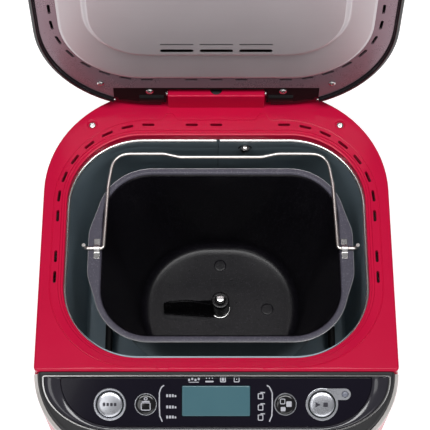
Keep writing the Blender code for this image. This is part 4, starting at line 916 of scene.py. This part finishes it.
def tile(u, v, wide, high, base, corner=0.0003, thick=INK):
    """A small rounded tile."""
    points = outline(wide / 2, -high / 2, high / 2, corner, corner, straight=0)[::4]
    return [[(x + u, y + v, w) for x, y in points] for w in (base, base + thick)]


def line(points, width, base):
    """A flat stroke along a path."""
    path = [Vector((x, y)) for x, y in points]
    sides = []
    for i, here in enumerate(path):
        ahead = (path[min(i + 1, len(path) - 1)] - path[max(i - 1, 0)]).normalized()
        sides.append((here, Vector((-ahead.y, ahead.x)) * width / 2))
    loop = [p + n for p, n in sides] + [p - n for p, n in reversed(sides)]
    return [[(p.x, p.y, w) for p in loop] for w in (base, base + INK)]


def hollow(u, v, wide, high, base, width=0.0004, corner=0.0008, thick=INK):
    """The outline of a rounded rectangle, as a closed stroke."""
    rows = []
    for inset, w in ((0.0, base), (0.0, base + thick), (width, base + thick), (width, base)):
        points = outline(wide / 2, -high / 2, high / 2, corner, corner, inset, 0)[::4]
        rows.append([(x + u, y + v, w) for x, y in points])
    return (rows, True)


def marks(name, shapes, material=pale_ink, body="machine"):
    skins = [shape if isinstance(shape, tuple) else (shape, False) for shape in shapes]
    return piece(name, skins, material, body, plane=PANEL, sharp=30.0)


FACE = -0.0006  # the plate's top
LOW, THICK = 0.0007, 0.0006  # the foot and height of a sign on a small cap
ON_LARGE = (0.0014, 0.0003, 0.0005)  # foot, corner and height on a large cap
u, v = MENU
bars = [tile(u - 0.0042 + k * 0.0028, v + 0.0002, 0.0019, 0.0024, *ON_LARGE) for k in range(4)]
bars += [tile(u - 0.0042, v + 0.0004, 0.0005, 0.0034, *ON_LARGE)]
marks("menu_bars", bars, dark_ink, "menu_button_body")
u, v = START
points = [(u - 0.005, v - 0.002), (u - 0.0012, v), (u - 0.005, v + 0.002)]
signs = [[level(points, w) for w in (0.0014, 0.0019)], tile(u + 0.0026, v, 0.0034, 0.0034, *ON_LARGE)]
marks("start_signs", signs, dark_ink, "start_button_body")
u, v = LOAF
signs = [hollow(u, v - 0.0014, 0.0074, 0.0062, LOW, 0.0007, 0.0012, THICK),
         tile(u, v + 0.0024, 0.0058, 0.0009, LOW, 0.0003, THICK),
         hollow(u, v + 0.0044, 0.0028, 0.0022, LOW, 0.0006, 0.0008, THICK)]
marks("loaf_sign", signs, body="loaf_button_body")
u, v = CRUST
signs = [hollow(u - 0.0022, v + 0.0024, 0.004, 0.0042, LOW, 0.0006, 0.0009, THICK),
         tile(u + 0.0026, v + 0.0004, 0.004, 0.0042, LOW, 0.0006, THICK),
         tile(u - 0.0018, v - 0.0034, 0.0036, 0.0032, LOW, 0.0006, THICK)]
marks("crust_signs", signs, body="crust_button_body")
brackets = []
for sign, top_u, low_u in ((-1, 0.0393, 0.0429), (1, 0.0381, 0.0421)):
    path = [(top_u, -0.0101), (top_u + 0.0018, -0.0113), (top_u + 0.0029, -0.0133), (low_u, -0.016),
            (low_u, -0.025), (low_u - 0.0003, -0.033), (low_u - 0.0022, -0.0375)]
    brackets.append(line([(sign * x, y) for x, y in path], 0.0009, FACE))
marks("panel_brackets", brackets)
labels = []
for row in (-0.0179, -0.0264, -0.034):
    labels += [tile(-0.0383 + 0.0013 + k * 0.0021, row, 0.0015, 0.0022, FACE) for k in range(3)]
    labels += [tile(-0.0308, row - 0.0003, 0.0013, 0.0016, FACE)]
    labels += [hollow(0.0333, row - 0.0004, 0.0042, 0.0046, FACE, 0.0007)]
    labels += [tile(0.0349, row + 0.0024, 0.0036, 0.0008, FACE)]
marks("panel_labels", labels)
icons = [tile(-0.0205 + k * 0.0024, -0.006 + 0.0008 * (k % 2), 0.0015, 0.0018, FACE) for k in range(4)]
icons += [tile(-0.017, -0.0077, 0.008, 0.0006, FACE), tile(-0.0052, -0.0072, 0.0062, 0.0012, FACE)]
icons += [tile(-0.0074 + k * 0.0022, -0.0045, 0.0009, 0.0013, FACE) for k in range(3)]
for x in (0.005, 0.0153):
    icons += [hollow(x, -0.0055, 0.0044, 0.0046, FACE, 0.0007)]
    icons += [tile(x + 0.0017, -0.0031, 0.0034, 0.0008, FACE)]
icons += [tile(0.005, -0.0055, 0.002, 0.0024, FACE), tile(0.0153, -0.0055, 0.0008, 0.001, FACE)]
marks("panel_icons", icons)
print("marks done")

# %% [markdown]
# ## Lid
# The lid is modelled shut and turned open by its plane's matrix. From outside in there are a
# glossy rim with a lip all round, a red dome that nobody sees from the front, a satin inner frame
# and a stamped reflector. The rim and the frame are cut away at the back for the hinge. A glossy
# black plate fills the two pockets that this leaves, and its middle strip is a painted shadow of
# the gap over the hinge block. A thin black sheet behind the frame is painted shade, which keeps
# the frame's slots dark.

# %% Rim, dome and inner frame
OVERHANG = 0.0018
lid_edge = ledge(HALF + OVERHANG, -OVERHANG, DEPTH + OVERHANG, 0.008, 0.0918)


def rear_cut(half, front, low=-0.01, high=0.02):
    """A box over the back of the lid, this far to each side."""
    return box((-half, front, low), (half, 0.3, high))


RIM_CUT_Y, HOLLOW_Y = 0.2261, 0.2225
rim_rows = stack(lid_edge, (0.0012, 0.0012), (0.0015, 0.0004), (0.0026,), (0.0218,), (0.0218, 0.0022),
                 (0.0062, 0.0022), (0.0062, 0.004), (0.0024, 0.004), (0.0015, 0.0035), (0.0012, 0.0026))
piece("lid_rim_moulding", rim_rows, black_gloss, "lid", "lid_rim", plane=LID, ring=True,
      holes=[[rear_cut(0.0446, RIM_CUT_Y, high=0.04)], [rear_cut(0.0832, RIM_CUT_Y, high=0.0058)]])
# Painted shade: a thin black sheet behind the frame, which keeps the frame's slots dark.
slot_shade_rows = stack(lid_edge, (0.0124, 0.0026), (0.0132, 0.0026))
ARM_X, ARM_HALF = 0.0525, 0.0107
arm_cuts = [
    box((s * ARM_X - ARM_HALF, HOLLOW_Y, 0.0), (s * ARM_X + ARM_HALF, 0.3, 0.02)) for s in (-1, 1)
]
piece("lid_slot_shade_sheet", slot_shade_rows, black_matt, "lid", plane=LID,
      holes=[[rear_cut(0.04, HOLLOW_Y, 0.0)], arm_cuts])
# The plate's black fills the two pockets; its middle strip, under the frame's edge, is a painted shadow of
# the gap over the hinge block.
pocket = stack(lid_edge, (0.0045, 0.0042), (0.0053, 0.0042))
POCKET_X = 0.0831
side_cuts = [
    box((-0.2, 0.1, -0.01), (-POCKET_X, 0.3, 0.02)), box((POCKET_X, 0.1, -0.01), (0.2, 0.3, 0.02))
]
piece("lid_pocket_plate", pocket, hinge_black_and_gap_shade, "lid", plane=LID,
      holes=[[box((-0.2, -0.1, -0.01), (0.2, 0.2188, 0.02))], side_cuts, [rear_cut(0.0408, 0.2222)]])
dome = [(0.046, 0.0285), (0.034, 0.0279), (0.022, 0.0265), (0.015, 0.0246), (0.009, 0.0215),
        (0.005, 0.0175), (0.0025, 0.013), (0.0012, 0.009), (0.0003, 0.004), (0.0, 0.0)]
DOME_FOOT = 0.0221
dome_rows = [lid_edge(DOME_FOOT + rise, inset) for inset, rise in dome]
dome_rows += [lid_edge(DOME_FOOT + max(rise - SKIN, 0.0), inset + SKIN) for inset, rise in reversed(dome)]
dome_vents = [moved(stadium(0.06, 0.003, 0.03, 0.07), place(0.0, 0.1516 + i * 0.008)) for i in range(5)]
piece("lid_dome", dome_rows, red_plastic, "lid", "lid_top", plane=LID, holes=[dome_vents], sharp=50.0)
FRAME_LOW, FRAME_HIGH = 0.0034, 0.0054
reflector_edge = ledge(0.12, 0.008, 0.2061, 0.062, 0.062)
inner_rows = stack(lid_edge, (FRAME_HIGH, 0.0043), (0.004, 0.0043), (0.0036, 0.0046), (FRAME_LOW, 0.0054),
                   (FRAME_LOW, 0.01))
inner_rows += stack(reflector_edge, (FRAME_LOW, -0.001), (FRAME_LOW, 0.004), (FRAME_HIGH, 0.004))
LID_SCREW_X, LID_SCREW_Y = HALF - 0.0451, DEPTH - 0.0281
frame_screw_holes = [drill(0.0019, -0.01, 0.02, 16, (s * LID_SCREW_X, LID_SCREW_Y)) for s in (-1, 1)]
piece(
    "lid_frame_moulding", inner_rows, frame_plastic, "lid", "lid_inner_frame", plane=LID, ring=True,
    holes=[[rear_cut(0.083, 0.2187)], slot_tools(-0.01, 0.02) + frame_screw_holes],
)
print("lid opened by", round(math.degrees(OPENING), 1), "degrees")

# %% [markdown]
# ## Reflector
# One sheet with a raised plateau in the middle. The step between them is a few small bevels, which
# catch the light as a thin bright line. Six slots in two rows let warm air out at the back.

# %% Reflector and grip
plateau = ledge(0.1005, 0.0365, 0.1776, 0.046, 0.046)
stamped = stack(plateau, (-0.0013, 0.0046), (-0.0011, 0.0038), (0.0004, 0.0022), (0.0017, 0.0008),
                (0.0021, 0.0), (0.0022, -0.001))
stamped += stack(reflector_edge, (0.0022, 0.0024), (0.0024, 0.0014), (0.0029, 0.0003), (0.0031, 0.0))
back_face = [reflector_edge(0.0032, 0.0002)]
back_face += stack(plateau, (0.0032, -0.001), (0.0028, 0.0), (-0.0002, 0.0042), (-0.0004, 0.005))
row_slots = [
    moved(stadium(0.026, width, -0.01, 0.01), place(i * 0.0305, y))
    for y, width in ((0.1619, 0.0016), (0.1692, 0.004)) for i in (-1, 0, 1)
]
piece("lid_reflector_sheet", stamped + back_face, reflector_steel, "lid", "lid_reflector", plane=LID,
      holes=[row_slots])
GRIP_FOOT = -0.0021
BULGE = ((0.6, 0.0084), (0.9, 0.0102), (1.0, 0.0122), (0.9, 0.0148), (0.6, 0.0166))
grip = []
for i in range(25):
    x = -0.042 + 0.084 * i / 24
    reach = 0.003 + 0.009 * min(1.0, (0.042 - abs(x)) / 0.01) ** 0.5
    grip.append([(x, GRIP_FOOT, 0.018), (x, GRIP_FOOT, 0.007)]
                + [(x, GRIP_FOOT - share * reach, z) for share, z in BULGE])
piece("lid_grip_lip", grip, black_gloss, "lid", "lid_grip", plane=LID)
print("reflector:", len(row_slots), "slots")

# %% [markdown]
# ## Oven chamber
# The chamber is a deep drawn tub. Its mouth is rolled over under the deck's edge, and the roll
# shows as a bright line, open at the back where the sheet's two ends meet in an upright seam.

# %% Chamber
CHAMBER = (HALF - 0.0188, 0.014, DEPTH - 0.0367, 0.059, 0.059)
FLOOR = box_in(DECK, "oven_liner")[0].z + 0.001

wall = ledge(*CHAMBER)
FOOT_TOP = FLOOR + 0.004
liner_rows = stack(wall, (FLOOR - 0.001, 0.01), (FLOOR - 0.001, 0.003), (FOOT_TOP, 0.0), (-0.0108, 0.0),
                   (-0.0108, -0.0055), (-0.0098, -0.0055), (-0.0098, 0.0008), (-0.0102, 0.001),
                   (-0.05, 0.001), (-0.11, 0.001), (FOOT_TOP, 0.001), (FLOOR + 0.0012, 0.0022),
                   (FLOOR, 0.005), (FLOOR, 0.01))
SENSOR = box_in(DECK, "temperature_sensor")
SENSOR_X, SENSOR_Z = (SENSOR[0].x + SENSOR[1].x) / 2, (SENSOR[0].z + SENSOR[1].z) / 2
PAN_MIDDLE = (box_in(DECK, "pan_shaft")[0] + box_in(DECK, "pan_shaft")[1]) / 2
PAN_X, PAN_Y = PAN_MIDDLE.x, PAN_MIDDLE.y


def wall_hole(radius, x, z):
    return moved(drill(radius, -0.01, 0.01), place(x, CHAMBER[2], z, math.pi / 2, "X"))


ELEMENT_Z = sum(corner.z for corner in box_in(DECK, "heating_element")) / 2
shaft_hole = drill(0.0133, -0.02, 0.02, 48, (PAN_X, PAN_Y))
liner_holes = [moved(shaft_hole, place(z=FLOOR)), wall_hole(0.0033, SENSOR_X, SENSOR_Z)]
liner_holes += [wall_hole(0.0039, PAN_X + s * 0.012, ELEMENT_Z) for s in (-1, 1)]
liner = piece("chamber_tub", liner_rows, chamber_steel, "machine", "oven_liner", holes=[liner_holes],
              sharp=45.0)
SEAM_X = 0.0016
turns = outline(*MOUTH, 0.0002, straight=0)
half_way = 2 * (STEPS + 1)
roll = [(SEAM_X - 0.0014, turns[half_way][1])] + turns[half_way:] + turns[:half_way]
roll.append((SEAM_X + 0.0014, turns[half_way][1]))
piece("chamber_roll", tube(level(roll, -0.0101), 0.0015, 12), bright_steel, "machine")
weld = [(SEAM_X, CHAMBER[2] - 0.0011, -0.0112 - 0.0058 * i) for i in range(30)]
piece("chamber_weld", tube(weld, 0.00035, 8), bright_steel, "machine")
print("chamber:", len(liner.data.polygons), "faces, floor at", round(FLOOR, 4))

# %% [markdown]
# ## Pan
# The pan is a tapered box with generous corners, made by carrying one outline from its foot to its
# rim. Its flange has an ear on each side for the handle. Four shallow round pads are pressed up
# from the floor. The coating is darker inside and paler on the rim, so the rim is its own
# piece, and the bare folded edge of the sheet is a fine wire of steel round it.

# %% Pan body, rim and edge
PAN = DECK @ place(PAN_X, PAN_Y)
RIM_Z, PAN_FLOOR = -0.025, -0.158
RIM_SIZE, FOOT_SIZE = (0.094, 0.0685, 0.038), (0.069, 0.062, 0.045)


def pan_loop(share, out=0.0, straight=6, soft=0.0):
    half, depth, corner = [a + share * (b - a) for a, b in zip(FOOT_SIZE, RIM_SIZE)]
    corner = min(corner + soft * (1.0 - share), 0.97 * depth)
    return outline(half, -depth, depth, corner, corner, -out, straight)


def flange(out, z):
    """The rim's outline with its two ears."""
    points = []
    for x, y in pan_loop(1.0, out, 16):
        reach = min(max((0.041 - abs(y)) / 0.026, 0.0), 1.0)
        grow = 0.0058 * reach * reach * (3 - 2 * reach) if abs(x) > 0.8 * RIM_SIZE[0] else 0.0
        points.append((x + math.copysign(grow, x), y, z))
    return points


def pan_level(share, out, z):
    return level(pan_loop(share, out), z)


def inner_level(share, out, z):
    """The inside's corners grow rounder towards the floor."""
    return level(pan_loop(share, out, soft=0.02), z)


DEEP = RIM_Z - PAN_FLOOR
inside = stack(pan_level, (1.0, 0.0016, RIM_Z - 0.0014), (1.0, 0.0004, RIM_Z - 0.0024),
               (1.0, 0.0, RIM_Z - 0.0042))
inside += [inner_level(share, 0.0, PAN_FLOOR + share * DEEP) for share in (0.8, 0.6, 0.4, 0.25, 0.14, 0.08)]
inside += stack(inner_level, (0.045, -0.0004, PAN_FLOOR + 0.0058), (0.022, -0.0016, PAN_FLOOR + 0.003),
                (0.008, -0.0036, PAN_FLOOR + 0.0011), (0.0, -0.0062, PAN_FLOOR + 0.0002),
                (0.0, -0.01, PAN_FLOOR))
outside = stack(pan_level, (0.0, -0.008, PAN_FLOOR - 0.0014), (0.02, -0.001, PAN_FLOOR + 0.0016),
                (0.08, 0.0014, PAN_FLOOR + 0.0086), (1.0, 0.0014, RIM_Z - 0.006),
                (1.0, 0.0018, RIM_Z - 0.0026), (1.0, 0.0024, RIM_Z - 0.0016))
PAD = [(0.0056, -0.001), (0.0055, 0.0003), (0.005, 0.0007), (0.0042, 0.0008), (0.001, 0.0008)]
PAD_RING = 0.042
pads = []
for k in range(4):
    x, y = PAD_RING * math.cos(k * math.pi / 2), PAD_RING * math.sin(k * math.pi / 2)
    pads.append(moved(turned(PAD, 40), place(x, y, PAN_FLOOR)))
pan = piece(
    "pan_body", outside + inside, non_stick, "pan", "pan", plane=PAN, joins=[pads],
    holes=[[drill(0.0041, PAN_FLOOR - 0.01, PAN_FLOOR + 0.01)]], sharp=40.0,
)
EDGE_OUT = 0.0064


def rim_level(out, z):
    return level(pan_loop(1.0, out, 16), z)


rim_rows = stack(rim_level, (0.0016, RIM_Z - 0.0012), (0.0022, RIM_Z - 0.0004), (0.0032, RIM_Z))
rim_rows += stack(flange, (EDGE_OUT - 0.0008, RIM_Z), (EDGE_OUT, RIM_Z - 0.0003),
                  (EDGE_OUT, RIM_Z - 0.0013))
rim_rows.append(rim_level(0.0026, RIM_Z - 0.0014))
piece("pan_rim", rim_rows, rim_coating, "pan", plane=PAN, ring=True)
piece("pan_edge", tube(flange(EDGE_OUT, RIM_Z - 0.0007), 0.0005, 8, closed=True), cast, "pan", plane=PAN,
      ring=True)
print("pan:", len(pan.data.polygons), "faces,", len(pads), "pads")

# %% [markdown]
# ## Handle
# The handle is one bent wire. Its corners are given with radii and filled in as curves. It lies
# back on the rim and dips in the middle of its bar. Outside the straps its ends turn upwards. Each
# strap is a strip folded over the wire, with a flat tab before and behind.

# %% Bail and straps
def rounded(corners, radii, steps=10):
    """A path with each inner corner replaced by a smooth curve."""
    points = [Vector(corners[0])]
    for before, corner, after, radius in zip(corners, corners[1:], corners[2:], radii):
        before, corner, after = Vector(before), Vector(corner), Vector(after)
        entry, leave = (before - corner).normalized(), (after - corner).normalized()
        turn = math.pi - entry.angle(leave)
        room = 0.49 * min((before - corner).length, (after - corner).length)
        reach = min(radius * math.tan(turn / 2), room)
        first, last = corner + reach * entry, corner + reach * leave
        for k in range(steps + 1):
            t = k / steps
            points.append((1 - t) ** 2 * first + 2 * t * (1 - t) * corner + t * t * last)
    return points + [Vector(corners[-1])]


BAIL_AXIS = Vector(JOINTS["bail_swing"]["pos_m"])
SWING = Matrix.Translation(BAIL_AXIS)
WIRE_R = 0.0015
REACH = 0.0847
bail_half = [
    (0.1093, 0.0, 0.007), (0.1093, 0.0, 0.0), (0.094, 0.0, 0.0), (0.092, 0.66 * REACH, 0.0),
    (0.088, REACH, 0.0), (0.047, REACH, 0.0), (0.034, REACH - 0.0031, 0.0),
]
bail_corners = bail_half + [(-x, y, z) for x, y, z in reversed(bail_half)]
bail_radii = [0.0032, 0.0028, 0.06, 0.026, 0.02, 0.016]
wire = tube(rounded(bail_corners, bail_radii + bail_radii[::-1]), WIRE_R, 16)
piece("bail_wire", wire, wire_steel, "handle", "bail_handle", plane=SWING)


def strap(side, sign):
    inner, outer, base = 0.0016, 0.0026, -0.0015
    arc = [math.pi * i / 20 for i in range(21)]
    over = [(outer * math.cos(a), outer * math.sin(a)) for a in arc]
    under = [(-inner * math.cos(a), inner * math.sin(a)) for a in arc]
    tab = 0.0086
    profile = [(tab, base), (tab, base + 0.001), (0.0034, base + 0.001), (0.0029, base + 0.0014), *over,
               (-0.0029, base + 0.0014), (-0.0034, base + 0.001), (-tab, base + 0.001), (-tab, base),
               (-inner, base), *under, (inner, base)]
    middle = sign * 0.0993
    loops = [[(middle + x, y, z) for y, z in profile] for x in (-0.0025, 0.0025)]
    return piece("strap_" + side, loops, bright_steel, "pan", "handle_bracket_" + side, plane=SWING,
                 bevel=0.00025)


for side, sign in SIDES:
    strap(side, sign)
print("bail axis", tuple(round(c, 4) for c in BAIL_AXIS))

# %% [markdown]
# ## Shaft and paddle
# The kneading shaft has a chamfered top. The paddle slips over it: a hub with one blade, broad at
# its foot and thin at its crest, which rises to a fin towards the tip.

# %% Shaft, seal and paddle
SHAFT = PAN @ place(z=PAN_FLOOR)
SHAFT_TOP = 0.029
piece(
    "kneading_shaft",
    turned([(0.004, -0.0255), (0.004, 0.0276), (0.0037, 0.0284), (0.003, 0.0289), (0.0004, SHAFT_TOP)], 40),
    bright_steel, "pan_drive", "pan_shaft", plane=SHAFT,
)
piece(
    "shaft_seal",
    turned([(0.00406, 0.0003), (0.0093, 0.0003), (0.0092, 0.001), (0.0086, 0.0016), (0.007, 0.0018),
            (0.00406, 0.0018)], 48),
    bright_steel, "pan", "pan_seal", plane=SHAFT, ring=True,
)
hub = turned([(0.0041, 0.0021), (0.0082, 0.0021), (0.0081, 0.02), (0.0078, 0.0232), (0.0072, 0.0243),
              (0.0062, 0.0246), (0.0048, 0.0244), (0.0041, 0.024)], 48)
blade = []
for i in range(17):
    t = i / 16
    x = -0.0056 - t * 0.0444
    crest = 0.0131 + 0.006 * math.sin(math.pi * t) ** 2 + 0.006 * t
    crest -= 0.004 * max(0.0, (t - 0.86) / 0.14) ** 2
    thick = 0.002 - 0.0006 * t
    flare = 0.0078 - 0.003 * t
    side = [(flare, 0.0024), (flare, 0.0032), (0.55 * flare, 0.0058), (thick, crest - 0.003),
            (0.5 * thick, crest - 0.0004)]
    section = [(-y, z) for y, z in side] + [(0.0, crest)] + side[::-1]
    blade.append([(x, y, z) for y, z in section])
piece("kneading_paddle", hub, paddle_coating, "kneader", "paddle", plane=SHAFT, ring=True, joins=[[blade]],
      sharp=40.0)
print("shaft stands", SHAFT_TOP, "m over the pan's floor")

# %% [markdown]
# ## Screws and small hardware
# A pan-head screw is turned, and two crossed cuts make its recess. The same function makes those of
# the deck, of the lid's frame and of the hinge arms.

# %% Screws and sensor
def screw(name, x, y, z, body, nodes=(), plane=DECK, down=False, radius=0.0027):
    turn = math.pi if down else 0.0
    stand = place(x, y, z, turn, "X")
    head = [(0.0012, -0.006), (0.0015, -0.0054), (0.0015, 0.0), (radius, 0.0), (radius, 0.0005),
            (0.85 * radius, 0.0009), (0.6 * radius, 0.0011), (0.1 * radius, 0.0011)]
    slot = stadium(1.3 * radius, 0.0007, 0.0004, 0.002)
    cross = [[moved(slot, place(turn=math.pi / 4 + k * math.pi / 2))] for k in range(2)]
    return piece(name, turned(head, 32), bright_steel, body, nodes, plane=plane @ stand, holes=cross)


ARM_SCREW = (0.0539, 0.2242)  # on the hinge's arm, in the lid
for side, s in SIDES:
    screw("deck_screw_head_" + side, s * SCREW_X, SCREW_Y, -0.0011, "machine", "deck_screw_" + side)
    screw("lid_screw_head_" + side, s * LID_SCREW_X, LID_SCREW_Y, 0.0031, "lid", "lid_screw_" + side, LID,
          True)
    screw("hinge_screw_" + side, s * ARM_SCREW[0], ARM_SCREW[1], 0.0044, "lid", (), LID, True, 0.003)
dome_head = moved(
    turned([(0.0021, -0.0055), (0.003, -0.005), (0.003, 0.0008), (0.0056, 0.0008), (0.0056, 0.0013),
            (0.0047, 0.0016), (0.0044, 0.0032), (0.0036, 0.0044), (0.0022, 0.0051), (0.0003, 0.0053)], 40),
    place(SENSOR_X, CHAMBER[2] - 0.0005, SENSOR_Z, math.pi / 2, "X"),
)
piece("sensor_head", dome_head, bright_steel, "machine", "temperature_sensor")
print("screws done")

# %% [markdown]
# ## Everything else
# The parts that nobody sees from outside keep their CAD meshes. They get the same finishes, chosen
# by name, and a narrow bevel that softens their edges.

# %% Finishes for the CAD nodes that stay
CARRIED = {
    black_matt: ("base_plate", "cord_inlet", "heating_element"),
    hinge_black_and_gap_shade: ("lid_hinge_left", "lid_hinge_right"),
    rubber: ("foot_back_left", "foot_back_right", "foot_front_left", "foot_front_right", "drive_belt"),
    bright_steel: ("element_clip_left", "element_clip_right", "hinge_pin_left", "hinge_pin_right",
                   "motor_bracket", "motor_shaft", "drive_shaft", "drive_coupling", "pan_coupling"),
    cast: ("motor", "motor_pulley", "drive_pulley", "drive_bearing", "pan_base", "pan_bearing"),
    board_green: ("control_board",),
}
for material, names in CARRIED.items():
    for name in names:
        node = frame["nodes"][name]
        node.data.materials.clear()
        node.data.materials.append(material)
        soften(node, 0.0003, 40.0)
print("carried over:", sum(len(names) for names in CARRIED.values()))
